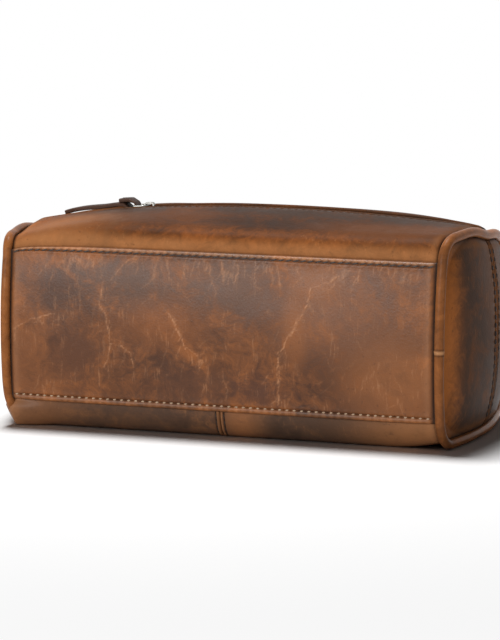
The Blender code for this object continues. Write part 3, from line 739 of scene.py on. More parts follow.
def panel_out(x, row):
    """Height of a panel's outer face over the shell: the turned hems, the stitches and a soft wander."""
    out = PANEL_OUT * fold_nose(min(row - foot_fold, head_fold - row))
    phase = stitch_phase(x)
    for distance, stitch in ((row - foot_fold, foot_stitch), (head_fold - row, head_stitch)):
        if distance < stitch:
            out += HEM_BULGE * math.sin(math.pi * distance / stitch) ** 2
        out -= PANEL_STITCH_SINK * hill(distance - stitch, GROOVE_WIDTH)
        out -= HOLE_SINK * phase**3 * hill(distance - stitch, HOLE_WIDTH)
        out += 0.00018 * (1 - phase) * hill(distance - stitch - 0.0014, 0.0009)
        out += 0.00016 * ripple(x, 9.0, row, 0.006) * hill(distance - stitch, 0.007)
    inside = smooth(min(row - foot_fold, head_fold - row), 0.004, 0.02)
    out += inside * (0.0004 * ripple(x, 2.0, row, 0.045) + 0.00012 * ripple(x, 6.0, row, 0.014))
    if out <= PANEL_SIDE_OUT:
        return out
    return PANEL_SIDE_OUT + (out - PANEL_SIDE_OUT) * side_dive(x)


def panel_paint(x, row):
    """Painted shade in the stitch rows, at the edges of the folds and beside the piping, and hems lightened
    between the stitches and the fold, partly rubbed pale and partly a painted highlight on the puffs between
    stitches.
    """
    groove, rub = 0.0, 0.0
    phase = stitch_phase(x)
    hems = ((row - foot_fold, foot_stitch, 0.4), (head_fold - row, head_stitch, 1.0))
    for distance, stitch, hem_rub_and_highlight in hems:
        # Painted shade along each stitch row, deepest at the holes, and at the fold's edge.
        row_shade = (0.3 + 0.4 * phase**3) * hill(distance - stitch, 0.0005)
        groove = max(groove, row_shade, 0.3 * (1 - smooth(distance, 0.0001, 0.0006)))
        # The hem is lightest half way between holes, where it puffs up: a painted highlight on the puffs over
        # paler, rubbed leather.
        if distance < stitch:
            rub = max(rub, hem_rub_and_highlight * (0.55 - 0.4 * phase) * math.sin(math.pi * distance / stitch))
    from_side = SIDE_EDGE - abs(x)
    # Painted shade where the panel goes in beside the piping.
    groove = max(groove, 0.95 * (1 - smooth(from_side, 0.0006, 0.0024)))
    rub = max(rub, 0.12 * hill(from_side - 0.0036, 0.0018))
    return {"groove": groove, "rub": rub}


LONG_VEINS = (
    (0.8, (-109, 50), (-98, 56), (-86, 59)),
    (0.5, (-73, 88), (-74, 74), (-72, 61)),
    (0.9, (-60, 76), (-62, 66), (-58, 58), (-56, 45), (-59, 33)),
    (0.7, (-56, 45), (-50, 44), (-45, 41), (-44, 34)),
    (0.7, (-44, 90), (-50, 85), (-56, 78)),
    (0.6, (-35, 88), (-34, 77)),
    (1.0, (-28, 65), (-24, 60), (-20, 52), (-16, 45), (-7, 39)),
    (0.7, (-5, 88), (-4, 81), (-1, 73)),
    (0.6, (3, 33), (5, 25), (4, 19)),
    (0.7, (30, 88), (32, 77)),
    (0.8, (40, 89), (42, 82)),
    (0.6, (62, 90), (64, 84)),
    (1.0, (67, 88), (57, 81), (48, 78), (47, 71), (42, 62)),
    (1.0, (42, 62), (38, 54), (32, 45), (31, 35), (32, 29), (31, 19)),
)  # strength, then places along the front and up it, in millimetres
VEIN_STEP = 0.0006
VEIN_TOP = 0.0905
VEIN_FOOT = 0.019
VEIN_SIDE = 0.109


def wandering(chance, start, stop):
    """Points from start to stop on a crooked line."""
    run = stop - start
    across = Vector((-run.y, run.x)).normalized()
    count = max(2, round(run.length / VEIN_STEP))
    phase = chance.uniform(0, 100)
    points = []
    for number in range(count + 1):
        share = number / count
        crook = 0.0011 * noise.noise(Vector((phase, share * run.length / 0.0045, 0)))
        crook += 0.0004 * noise.noise(Vector((phase, share * run.length / 0.0012, 5)))
        points.append(start + run * share + across * crook)
    return points


def hair(chance, spread, shortest, longest):
    """The run of a short hair that hangs down, with a lean and a length by chance."""
    turn = -math.pi / 2 + chance.gauss(0, spread)
    return Vector((math.cos(turn), math.sin(turn))) * chance.uniform(shortest, longest)


def growth_veins(seed, routes):
    """Growth veins as points (x, height, strength): long crooked ones on given routes with fine hairs beside
    them, short hairs that hang from the top seam in tufts, and faint scratches all over."""
    chance = random.Random(seed)
    lines = []
    for strength, *spots in routes:
        for (x, z), (next_x, next_z) in zip(spots, spots[1:]):
            start, stop = Vector((x / 1000, z / 1000)), Vector((next_x / 1000, next_z / 1000))
            lines.append((strength, start, stop))
            for _ in range(round((stop - start).length / 0.004)):
                at = start.lerp(stop, chance.random())
                end = at + hair(chance, 0.5, 0.002, 0.008)
                weaker = strength * chance.uniform(0.2, 0.6)
                lines.append((weaker, at + Vector((chance.gauss(0, 0.0015), 0)), end))
    for _ in range(22):
        tuft = chance.uniform(-0.104, 0.104)
        for _ in range(chance.randint(3, 6)):
            start = Vector((tuft + chance.gauss(0, 0.003), VEIN_TOP - chance.uniform(0, 0.004)))
            end = start + hair(chance, 0.2, 0.003, 0.011)
            lines.append((chance.uniform(0.2, 0.65), start, end))
    for _ in range(110):
        start = Vector((chance.uniform(-0.107, 0.107), chance.uniform(VEIN_FOOT + 0.004, VEIN_TOP)))
        end = start + hair(chance, 0.6, 0.003, 0.012)
        lines.append((chance.uniform(0.1, 0.35), start, end))
    points = []
    for strength, start, stop in lines:
        crooked = wandering(chance, start, stop)
        for number, (x, z) in enumerate(crooked):
            if VEIN_FOOT < z < VEIN_TOP and abs(x) < VEIN_SIDE:
                fade = 0.6 + 0.4 * math.sin(math.pi * (number + 0.5) / len(crooked))
                points.append((x, z, strength * fade))
    return points


PANEL_TONES = [(64, 39, 25), (103, 61, 32), (134, 79, 38), (196, 146, 108)]
PANEL_SEED = {"front": 0.4, "back": 7.3}
PATCH_Y = 0.058
PATCH_DEPTH = 0.05
PANEL_PATCHES = {
    "front": [
        (-0.098, 0.042, 0.040, 0.044, (116, 69, 36), 0.6),
        (-0.050, 0.078, 0.040, 0.020, (76, 54, 42), 0.85),
        (-0.084, 0.070, 0.020, 0.024, (66, 43, 31), 0.85),
        (0.008, 0.080, 0.034, 0.020, (90, 64, 50), 0.75),
        # The pale grey patch at the upper right is a painted sheen.
        (0.060, 0.066, 0.044, 0.026, (110, 74, 54), 0.55),
        (-0.075, 0.040, 0.018, 0.024, (72, 44, 29), 0.7),
        (-0.012, 0.027, 0.032, 0.014, (74, 46, 31), 0.75),
        (0.023, 0.025, 0.018, 0.013, (70, 43, 31), 0.75),
        (-0.030, 0.058, 0.026, 0.014, (126, 73, 34), 0.45),
        (0.050, 0.080, 0.016, 0.012, (138, 84, 44), 0.5),
        (0.040, 0.058, 0.008, 0.020, (140, 84, 42), 0.5),
        (0.092, 0.034, 0.032, 0.026, (132, 82, 46), 0.6),
    ],
    "back": [
        (0.050, 0.070, 0.034, 0.020, (104, 80, 68), 0.7),
        (-0.070, 0.040, 0.030, 0.026, (132, 82, 46), 0.6),
        (-0.010, 0.030, 0.026, 0.014, (84, 58, 46), 0.6),
    ],
}  # place along and up the panel, half width and half height, shade and strength
PANEL_LEATHER = {}
for face, sign in BODIES.items():
    patches = []
    for x, z, half_x, half_z, shade, strength in PANEL_PATCHES[face]:
        patches.append(((x, -sign * PATCH_Y, z), (half_x, PATCH_DEPTH, half_z), shade, strength))
    PANEL_LEATHER[face] = leather(
        f"{face}_leather", PANEL_TONES, PANEL_SEED[face], patches, True, gloss=0.36, shine=0.18, hairs=0.17
    )
edge_steps = (0.0, 0.00025, 0.0006, 0.001, 0.0015)
panel_columns = joined(
    even(-STITCH_ROW_END, STITCH_ROW_END, pitch / CELLS_PER_STITCH),
    even(STITCH_ROW_END, SIDE_EDGE, 0.0004),
    even(-SIDE_EDGE, -STITCH_ROW_END, 0.0004),
)
foot_rows = [foot_fold + d for d in (*edge_steps, *even(0.0020, 0.0054, 0.00042))]
head_rows = [head_fold - d for d in (*edge_steps, *even(0.0019, 0.0048, 0.0004))]
panel_rows = joined(foot_rows, even(max(foot_rows), min(head_rows), PANEL_ROW), head_rows)
for face, sign in BODIES.items():
    veins = growth_veins(11, LONG_VEINS) if face == "front" else growth_veins(23, ())
    tree = kdtree.KDTree(len(veins))
    for index, (x, z, _) in enumerate(veins):
        tree.insert((x, 0, z), index)
    tree.balance()

    def painted_panel(x, row):
        values = panel_paint(x, row)
        _, index, distance = tree.find((x, 0, outline_point(x, place_at(row)).y))
        values["vein"] = min(4, distance * 1000)
        values["vein_strength"] = veins[index][2]
        return values

    panel = cut_sheet(
        f"{face}_panel_leather",
        panel_columns,
        panel_rows,
        *laid(sign, place_at, panel_out, lambda x, row: min(GAP / 2, panel_out(x, row) - 0.00005)),
        PANEL_LEATHER[face],
        painted_panel,
        "bag",
    )
    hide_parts(f"{face}_panel")
    for edge, row in (("lower", foot_fold + foot_stitch), ("upper", head_fold - head_stitch)):
        s, height = sign * place_at(row), PANEL_OUT - PANEL_STITCH_SINK + 0.0001
        holes = holes_at([(x, s, height) for x in even(-STITCH_ROW_END, STITCH_ROW_END, pitch)])
        # The lower rows take the paler, lit copy of the thread, a painted highlight; the upper rows take the
        # brown thread.
        thread, slant, seen = (lit_thread, 0.16, 0.42) if edge == "lower" else (brown_thread, 0.28, 0.86)
        stitches = sew(f"{face}_{edge}_stitches", holes, thread, "bag", slant * sign, 0.00046, seen)
        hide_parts(f"{face}_{edge}_thread")


# The top strips run from under the front and back panels to the zip. Below the fold they stay with the body;
# above it they open as lips, and each lip is laid in two lengths that meet near the middle of the zip.
TOP_LAP = 2.9
LIP_FOLD = 4.0
LIP_EDGE = 0.0058
LIP_STITCH = 0.0028  # from the lip's edge to its stitches
LIP_EDGE_ROUND = 0.0012
LIP_BULGE = 0.0003
ZIP_LEFT = -0.0645
ZIP_RIGHT = 0.101
OPEN_LEFT = -0.056  # the mouth opens between these two, with its widest place at the middle
OPEN_RIGHT = 0.088
OPEN_MIDDLE = 0.016
TOP_CELL = 0.001
SHALLOW_STEPS = (0.0001, 0.0003, 0.0006)  # rows beside the fold, so that both sides shade alike there
HALVES = {"left": (-SIDE_EDGE, OPEN_MIDDLE, OPEN_LEFT), "right": (OPEN_MIDDLE, SIDE_EDGE, OPEN_RIGHT)}


def bend_open(piece):
    """Bakes the piece's placement into its mesh and gives the piece back."""
    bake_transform(piece)
    return piece


top_leather = leather(
    "top_leather",
    [(44, 28, 19), (92, 51, 22), (124, 69, 29), (176, 120, 76)],
    1.3,
    patches=[
        ((0.0, -0.038, 0.104), (0.026, 0.014, 0.03), (48, 30, 20), 0.85),
        ((0.026, -0.041, 0.104), (0.018, 0.010, 0.03), (50, 32, 22), 0.75),
        ((-0.060, -0.018, 0.110), (0.036, 0.022, 0.03), (56, 43, 35), 0.8),
        ((0.030, -0.016, 0.110), (0.060, 0.022, 0.03), (50, 39, 32), 0.9),
        ((0.085, -0.012, 0.110), (0.050, 0.022, 0.03), (54, 42, 34), 0.85),
        ((0.080, -0.040, 0.104), (0.040, 0.014, 0.03), (128, 74, 35), 0.7),
        ((-0.090, -0.038, 0.098), (0.050, 0.022, 0.03), (138, 86, 46), 0.75),
        ((-0.030, -0.030, 0.108), (0.030, 0.012, 0.03), (110, 62, 28), 0.6),
    ],
    gloss=0.5,
    shine=0.03,
)


def top_out(x, length):
    """Height of a top strip's outer face over the shell."""
    wander = 0.0003 * ripple(x, 3.0, length, 0.035) * smooth(length, length_at(3.3), length_at(3.6))
    return wander * side_dive(x) - SIDE_SINK * (1 - side_dive(x))


def top_paint(x, length):
    """Tan where the leather bends beside the panel, partly pulled up pale and partly a painted highlight on
    the rounded fold, deeper brown towards the zip, and painted shade at the panel's fold and beside the
    piping.
    """
    beside_panel = length - head_fold
    from_side = SIDE_EDGE - abs(x)
    # Painted shade at the edge of the panel's fold and where the strip goes in beside the piping.
    groove = 0.35 * (1 - smooth(beside_panel, 0.0002, 0.0008)) if beside_panel > -0.002 else 0.0
    groove = max(groove, 0.95 * (1 - smooth(from_side, 0.0004, 0.0022)))
    right_of_left_end = smooth(x, -0.095, -0.045)
    tan_width = 0.015 - 0.006 * right_of_left_end
    # The tan band beside the panel is partly pulled-up leather and partly a painted highlight on the rounded
    # fold.
    rub = max(0.75 * (1 - smooth(beside_panel, 0.002, tan_width)), 0.3 * hill(from_side - 0.0034, 0.002))
    deepen = 0.75 * smooth(beside_panel, 0.004, 0.022) * right_of_left_end
    return {"groove": groove, "rub": rub, "deepen": deepen}


def lip_out(x, across):
    """Height of the lip's outer face over the shell, from its distance to the middle of the zip."""
    inside = across - LIP_EDGE
    left = 1 - min(1, max(0, inside) / LIP_EDGE_ROUND)
    nose = LEATHER * (math.sqrt(1 - left * left) - 1)
    bulge = LIP_BULGE * hill(inside - LIP_STITCH / 2, 0.0008)
    phase = math.cos(math.pi * (x - ZIP_LEFT) / STITCH_PITCH) ** 2
    past_left = smooth(x, ZIP_LEFT - 0.008, ZIP_LEFT - 0.004)
    past_right = smooth(x, ZIP_RIGHT + 0.001, ZIP_RIGHT + 0.005)
    sink = STITCH_SINK * hill(inside - LIP_STITCH, GROOVE_WIDTH)
    sink += HOLE_SINK * phase**3 * hill(inside - LIP_STITCH, HOLE_WIDTH)
    return nose + bulge - past_left * (1 - past_right) * sink


def lip_place(across):
    """Place on the outline of a point between the fold and the ridge, that far from the middle."""
    return 5 - across / SHOULDER_HALF


def lip_surface(x, across):
    """Height of the lip with the wander that it shares with the strip below the fold."""
    length = length_at(lip_place(across))
    return lip_out(x, across) + top_out(x, length)


def lip_under(x, across):
    """Height of the lip's under face, which stays under the outer one where that dives at the edge."""
    return min(-LEATHER, lip_surface(x, across) - 0.0002)


def lip_paint(x, across):
    """The strip's own paint, with painted shade along the row of stitches and at the lip's edge, and a rubbed
    edge.
    """
    inside = across - LIP_EDGE
    values = top_paint(x, length_at(lip_place(across)))
    row_shade = 0.4 * hill(inside - LIP_STITCH, 0.0005)
    values["groove"] = max(values["groove"], row_shade, 0.3 * (1 - smooth(inside, 0, 0.0006)))
    values["rub"] = max(values["rub"], 0.35 * hill(inside - 0.0013, 0.0007))
    return values


fold_length = length_at(LIP_FOLD)
shoulder_rows = joined(
    even(length_at(TOP_LAP), head_fold - 0.001, 0.002),
    even(head_fold - 0.001, head_fold + 0.003, 0.0005),
    even(head_fold + 0.003, fold_length, TOP_CELL),
    [fold_length - d for d in SHALLOW_STEPS],
)
inner_side = SIDE_EDGE - SIDE_DIVE
dive_columns = joined(even(-SIDE_EDGE, -inner_side, EDGE_CELL), even(inner_side, SIDE_EDGE, EDGE_CELL))
lip_rows = joined(
    [LIP_EDGE + d for d in (0, 0.00015, 0.0004, 0.0008, 0.0012, 0.0017)],
    [LIP_EDGE + LIP_STITCH + d for d in (-0.0007, -0.0004, 0, 0.0004, 0.0007, 0.0012)],
    even(LIP_EDGE + LIP_STITCH + 0.002, SHOULDER_HALF, TOP_CELL),
    [SHOULDER_HALF - d for d in SHALLOW_STEPS],
)
for face, sign in BODIES.items():
    shoulder = cut_sheet(
        f"{face}_shoulder",
        joined(dive_columns, even(-inner_side, inner_side, TOP_CELL)),
        shoulder_rows,
        *laid(sign, place_at, top_out, -LEATHER),
        top_leather,
        top_paint,
        "bag",
    )
    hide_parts(f"top_strip_{face}")
    for half, (left, right, start) in HALVES.items():
        low, high = max(left, -inner_side), min(right, inner_side)
        own_dive = [x for x in dive_columns if left <= x <= right]
        lip = cut_sheet(
            f"{face}_lip_{half}",
            joined(own_dive, even(low, high, STITCH_PITCH / 4)),
            lip_rows,
            *laid(sign, lip_place, lip_surface, lip_under),
            top_leather,
            lip_paint,
        )
        bend_open(lip)
        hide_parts(f"{face}_lip")
        s, height = sign * lip_place(LIP_EDGE + LIP_STITCH), -STITCH_SINK + 0.0002
        stations = even(max(left, ZIP_LEFT - 0.003), min(right, ZIP_RIGHT), STITCH_PITCH)
        holes = holes_at([(x, s, height) for x in stations])
        stitches = sew(f"{face}_lip_{half}_stitches", holes, brown_thread, lean=0.1 * sign)
        bend_open(stitches)
        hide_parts(f"{face}_lip_thread")


# The piping: a strip of the same leather folded round a cotton cord and sewn in round each end. It is a
# closed ring, and the two ends of the strip meet in a butt joint: on the right half way up the front, and
# on the left at the back.
PIPING_OUT = 0.0005
PIPING_STEP = 0.0012
PIPING_JOINT = 2.45
PIPING_SIDES = 18
PIPING_CELL = 0.0009
PIPING_LAP = 0.00022  # how much thicker it is just over the joint
PIPING_WANDER = 0.00012


def piping_out(s):
    """How far outside the shell the piping's centre line runs: further beside the lapped panels."""
    return PIPING_OUT + PIPING_STEP * max(0, 1 - (2 * (abs(s) - 2.5)) ** 4)


def piping_point(side, s, inside=0.0):
    """A point of an end's piping, or that far inside the ring it makes."""
    return shell(side * HALF_LENGTH, s, piping_out(s) - inside)


def resampled(points, step):
    """Points about a step apart along a closed run of points."""
    ring = points + points[:1]
    lengths = [0.0]
    for start, stop in zip(ring, ring[1:]):
        lengths.append(lengths[-1] + (stop - start).length)
    spots, at = [], 0
    count = round(lengths[-1] / step)
    for number in range(count):
        wanted = lengths[-1] * number / count
        while lengths[at + 1] < wanted:
            at += 1
        share = (wanted - lengths[at]) / (lengths[at + 1] - lengths[at])
        spots.append(ring[at].lerp(ring[at + 1], share))
    return spots


def round_tube(name, points, radius, sides, axis, material, paint=None):
    """A closed ring of round wire or tube through points. radius(index, turn) gives its size, and axis is
    a direction that the ring never runs along."""
    mesh = bmesh.new()
    count = len(points)
    bmesh.ops.create_grid(mesh, x_segments=count, y_segments=sides, size=1)
    layers = {}
    for key in paint(0, 0) if paint else ():
        layers[key] = mesh.verts.layers.float.new(key)
    for corner in mesh.verts:
        index = round((corner.co.x + 1) / 2 * count) % count
        turn = round((corner.co.y + 1) / 2 * sides) % sides * 2 * math.pi / sides
        along = (points[(index + 1) % count] - points[index - 1]).normalized()
        across = (axis - along * axis.dot(along)).normalized()
        out = along.cross(across)
        size = radius(index, turn)
        corner.co = points[index] + (across * math.cos(turn) + out * math.sin(turn)) * size
        if paint:
            for key, value in paint(index, turn).items():
                corner[layers[key]] = value
    bmesh.ops.remove_doubles(mesh, verts=mesh.verts, dist=1e-6)
    return finish_mesh(name, mesh, material)


piping_leather = leather(
    "piping_leather",
    [(84, 48, 24), (116, 67, 32), (140, 84, 41), (200, 152, 108)],
    5.2,
    gloss=0.34,
    shine=0.06,
    hairs=0.1,
)
half_places = even(0, 5, 0.02)
for side_name, side in SIDES.items():
    ring = [piping_point(side, s) for s in half_places + [-s for s in reversed(half_places[1:-1])]]
    centres = resampled(ring, PIPING_CELL)
    joint = piping_point(side, side * PIPING_JOINT)

    def piping_radius(index, turn):
        centre = centres[index]
        above = centre.z - joint.z
        lap = PIPING_LAP * hill(above - 0.0004, 0.0006) if (centre - joint).length < 0.004 else 0
        return PIPING_RADIUS + lap + PIPING_WANDER * ripple(*centre, 0.02)

    def piping_paint(index, turn):
        close = (centres[index] - joint).length
        return {"rub": max(1.4 * hill(close, 0.0005), 0.06), "groove": 0.5 * hill(close - 0.0014, 0.0004)}

    piping = round_tube(
        f"piping_{side_name}_cover",
        centres,
        piping_radius,
        PIPING_SIDES,
        Vector((1, 0, 0)),
        piping_leather,
        piping_paint,
    )
    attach(piping, "bag")
    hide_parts(f"piping_{side_name}")


# The ends: two pieces of leather each, joined by an upright seam in the middle with a row of stitches on
# both sides. They swell out inside the ring of piping because the bag is stuffed to keep its shape.
END_PUFF = 0.006
END_PUFF_POWER = 0.7
END_TUCK = PIPING_RADIUS - PIPING_TUCK
END_CELL = 0.0009
END_CORNER_LOW = 1.5
END_CORNER_HIGH = 3.5
END_SEAM_STITCH = 0.0031
END_STITCHES = 23
END_HALF_WIDTH = 0.057
END_SEAM_DEPTH = 0.0006
END_SEAM_COLUMNS = (0.0, 0.0004, 0.0008, 0.0012, 0.0017, 0.0022, 0.0026)
END_STITCH_COLUMNS = (-0.0002, 0.0, 0.0002, 0.0006, 0.0011)
END_FIELD_FROM = 0.0052
END_FIELD_TO = 0.95  # share of the way from the seam to the wall
END_RIM_ROWS = 0.03  # share of the height, at the foot and the head, that has finer rows
low_length = length_at(END_CORNER_LOW)
high_length = length_at(END_CORNER_HIGH)
whole_length = length_at(5)


def end_flat(side, sign, u, v):
    """(y, z) of an end's leather: u goes from the seam to the wall, v from the base to the top."""
    def rim(length):
        point = piping_point(side, sign * place_at(min(length, whole_length)), END_TUCK)
        return Vector((point.y, point.z))

    bottom = rim(low_length * u)
    wall = rim(low_length + (high_length - low_length) * v)
    top = rim(whole_length - (whole_length - high_length) * u)
    foot, head, low_corner, high_corner = rim(0), rim(whole_length), rim(low_length), rim(high_length)
    seam = foot.lerp(head, v)
    corners = foot * (1 - u) * (1 - v) + low_corner * u * (1 - v) + head * (1 - u) * v + high_corner * u * v
    return bottom * (1 - v) + top * v + seam * (1 - u) + wall * u - corners


def end_point(side, sign, u, v, out=0.0):
    """A point of an end's leather, or that far outside it: puffed out, and pushed in where its corner is."""
    flat = end_flat(side, sign, u, v)
    share = min(1, (u**4 + abs(2 * v - 1) ** 4) ** 0.25)
    puff = END_PUFF * (1 - share * share) ** END_PUFF_POWER
    rim_distance = min(1 - u, 0.5 - abs(v - 0.5)) * 0.06
    dive = -0.0006 * (1 - smooth(rim_distance, 0, 0.003))
    near_wall, near_foot = u**FOOT_TUCK_POWER, (1 - v) ** FOOT_TUCK_POWER
    tucks = []
    for length in (low_length * u, low_length + (high_length - low_length) * v, low_length):
        tucks.append(foot_tuck(side, sign * place_at(length)))
    pushed = tucks[0] * near_foot + tucks[1] * near_wall - tucks[2] * near_foot * near_wall
    return Vector((side * (end_x(flat.x) - pushed + puff + GAP + dive + out), flat.x, flat.y))


def end_out(u, v):
    """Height of an end's outer face: the seam, its stitches and a soft wander."""
    across = u * END_HALF_WIDTH
    seam = -END_SEAM_DEPTH * hill(across, GROOVE_WIDTH)
    beside = across - END_SEAM_STITCH
    phase = math.cos(math.pi * v * END_STITCHES) ** 2
    sink = 0.4 * STITCH_SINK * hill(beside, 0.0007) + HOLE_SINK * phase**3 * hill(beside, HOLE_WIDTH)
    bulge = 0.0002 * hill(across - 0.0016, 0.0009)
    inside = smooth(min(1 - u, 0.5 - abs(v - 0.5)), 0.03, 0.2)
    wander = inside * 0.0005 * ripple(u * 0.06, v * 0.1, 8.0, 0.03)
    return seam - sink + bulge + wander


def end_paint(u, v):
    """Painted shade at the stitches and along the rim beside the piping, and a seam rubbed pale."""
    across = u * END_HALF_WIDTH
    rim = min(1 - u, 0.5 - abs(v - 0.5)) * 0.1
    dash = smooth(math.sin(math.pi * v * END_STITCHES) ** 2, 0.3, 0.6)
    # Painted shade at the stitches of the seam, and below along the rim beside the piping.
    seam = max(0.3 * hill(across, 0.0005), 0.95 * dash * hill(across - END_SEAM_STITCH, 0.0011))
    return {
        "groove": max(seam, 0.9 * (1 - smooth(rim, 0.0002, 0.0022))),
        "rub": max(0.3 * (1 - smooth(across, 0.0018, 0.005)), 0.4 * hill(rim - 0.004, 0.002)),
    }


END_LEATHER = {}
for side_name, side in SIDES.items():
    END_LEATHER[side_name] = leather(
        f"end_{side_name}_leather",
        [(50, 35, 26), (64, 44, 32), (92, 56, 32), (150, 98, 58)],
        4.4 + side,
        patches=[
            # The tan patch along the front edge is a painted highlight on the rounded edge.
            ((side * 0.120, -0.060, 0.060), (0.03, 0.019, 0.090), (154, 91, 44), 1.0),
            ((side * 0.120, 0.060, 0.050), (0.03, 0.020, 0.085), (118, 72, 40), 0.8),
            ((side * 0.126, 0.0, 0.080), (0.03, 0.022, 0.044), (104, 62, 32), 0.6),
        ],
        gloss=0.44,
        shine=0.03,
    )
end_columns = joined(
    [d / END_HALF_WIDTH for d in END_SEAM_COLUMNS],
    [(END_SEAM_STITCH + d) / END_HALF_WIDTH for d in END_STITCH_COLUMNS],
    even(END_FIELD_FROM / END_HALF_WIDTH, END_FIELD_TO, END_CELL / END_HALF_WIDTH),
    even(END_FIELD_TO, 1, EDGE_CELL / END_HALF_WIDTH),
)
end_rows = joined(
    even(0, END_RIM_ROWS, 0.005),
    even(END_RIM_ROWS, 1 - END_RIM_ROWS, 0.0065),
    even(1 - END_RIM_ROWS, 1, 0.005),
)
for side_name, side in SIDES.items():
    for face, sign in BODIES.items():
        end = cut_sheet(
            f"end_{side_name}_{face}_leather",
            end_columns,
            end_rows,
            lambda u, v: end_point(side, sign, u, v, end_out(u, v)),
            lambda u, v: end_point(side, sign, u, v, min(0, end_out(u, v)) - LEATHER),
            END_LEATHER[side_name],
            end_paint,
            "bag",
        )
        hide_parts(f"end_{side_name}_{face}_half")
        holes = []
        for count in range(1, END_STITCHES):
            share = count / END_STITCHES
            spot = end_point(side, sign, END_SEAM_STITCH / END_HALF_WIDTH, share, 0.0001)
            holes.append((spot, Vector((side, 0, 0))))
        stitches = sew(f"end_{side_name}_{face}_stitches", holes, brown_thread, "bag", 0.0, 0.0005, 0.6)
        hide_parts(f"end_{side_name}_{face}_thread")


# The zip: two woven tapes sewn under the lips, each with a comb of nickel teeth clamped on its edge. Stops
# close both ends of the chain, and a leather tab fills the slot from there to the piping.
CHAIN_DEPTH = 0.0035
TAPE = 0.0006
TAPE_DEPTH = CHAIN_DEPTH - TAPE / 2
TAPE_INNER = 0.0022
TAPE_OUTER = 0.0140
TOOTH_PITCH = 0.0024
TOOTH_WIDTH = 0.00098
TOOTH_REACH = 0.0009  # how far a tooth reaches past the middle, between two teeth of the other side
TOOTH_ROOT = 0.0030
TOOTH_HALF = 0.001
TOOTH_TAPER = 0.7  # a tooth's height at its tip, as a share of its root's
TOOTH_BEVEL = 0.00018
TOOTH_PHASE = {"front": 0.25, "back": 0.75}  # the combs stand half a pitch apart
STOP_LENGTH = 0.0025
STOP_INNER = 0.0006
END_TAB_DEPTH = 0.0022
END_TAB_GAP = 0.0012


def woven(name, colour, pale, threads):
    """Plain woven cloth: threads over and under in two directions, with a little fuzz."""
    look = Finish(name)
    place = look.place()
    waves = []
    for direction in ("X", "Y", "Z"):
        sockets = {"Vector": place, "Scale": threads, "Distortion": 0.4}
        waves.append(look.node("ShaderNodeTexWave", {"bands_direction": direction}, sockets, "Fac"))
    weave = waves[0] * 0.4 + waves[1] * 0.3 + waves[2] * 0.3
    fuzz = look.noise(place, 500, 4, 0.6)
    shade = look.mix(tone(*colour), tone(*pale), weave * 0.6 + fuzz * 0.4)
    look.coat(shade, 0.8 + fuzz * 0.15, weave + fuzz * 0.4, 0.35, 0.0003)
    look.fill(look.shader, {"Specular IOR Level": 0.2})
    return look.owner


def plated(name, colour, gloss):
    """Plated metal with faint smears and fine scratches."""
    look = Finish(name)
    place = look.place()
    smear = look.noise(place, 300, 3)
    scratch_place = look.node("ShaderNodeMapping", {}, {"Vector": place, "Scale": (120, 2500, 2500)})
    scratch = look.noise(scratch_place, 1, 2)
    dull = tone(*[round(part * 0.8) for part in colour])
    roughness = gloss + smear * 0.12 + scratch * 0.08
    look.coat(look.mix(dull, tone(*colour), smear), roughness, scratch, 0.08, 0.0001)
    look.fill(look.shader, {"Metallic": 1.0})
    return look.owner


def bevel_all(mesh, width, segments):
    """Rounds every edge of a mesh."""
    bmesh.ops.bevel(
        mesh, geom=mesh.edges[:], offset=width, segments=segments, profile=0.5, affect="EDGES", material=-1
    )


zip_tape = woven("zip_tape_weave", (34, 25, 20), (58, 45, 38), 260.0)
nickel = plated("nickel", (158, 157, 152), 0.22)
tape_rows = even(TAPE_INNER, TAPE_OUTER, 0.0012)
teeth_count = round((ZIP_RIGHT - ZIP_LEFT) / TOOTH_PITCH)
for face, sign in BODIES.items():
    for half, (left, right, start) in HALVES.items():
        low, high = max(left, ZIP_LEFT), min(right, ZIP_RIGHT)
        tape = cut_sheet(
            f"{face}_zip_tape_{half}",
            even(low, high, 0.002),
            tape_rows,
            *laid(sign, lip_place, -TAPE_DEPTH, -TAPE_DEPTH - TAPE),
            zip_tape,
        )
        bend_open(tape)
        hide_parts(f"{face}_zip_tape", f"{face}_{half}_zip_tape")
        mesh = bmesh.new()
        for count in range(teeth_count):
            x = ZIP_LEFT + (count + TOOTH_PHASE[face]) * TOOTH_PITCH
            if not low <= x < high:
                continue
            middle = Vector((x, -sign * (TOOTH_ROOT - TOOTH_REACH) / 2, ridge(x) - CHAIN_DEPTH))
            size = Vector((TOOTH_WIDTH, TOOTH_ROOT + TOOTH_REACH, 2 * TOOTH_HALF))
            made = bmesh.ops.create_cube(mesh, size=1, matrix=Matrix.LocRotScale(middle, None, size))
            for corner in made["verts"]:
                if -sign * corner.co.y < 0:
                    corner.co.z = middle.z + (corner.co.z - middle.z) * TOOTH_TAPER
        bevel_all(mesh, TOOTH_BEVEL, 1)
        teeth = finish_mesh(f"{face}_zip_teeth_{half}", mesh, nickel)
        bend_open(teeth)
        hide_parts(f"{face}_zip_teeth", f"{face}_{half}_zip_teeth")


def rounded_block(name, low, high, material, body, round_off=0.0003):
    """A small block with rounded edges between two corners."""
    low, high = Vector(low), Vector(high)
    mesh = bmesh.new()
    bmesh.ops.create_cube(mesh, size=1, matrix=Matrix.LocRotScale((low + high) / 2, None, high - low))
    bevel_all(mesh, round_off, 3)
    return finish_mesh(name, mesh, material, body)


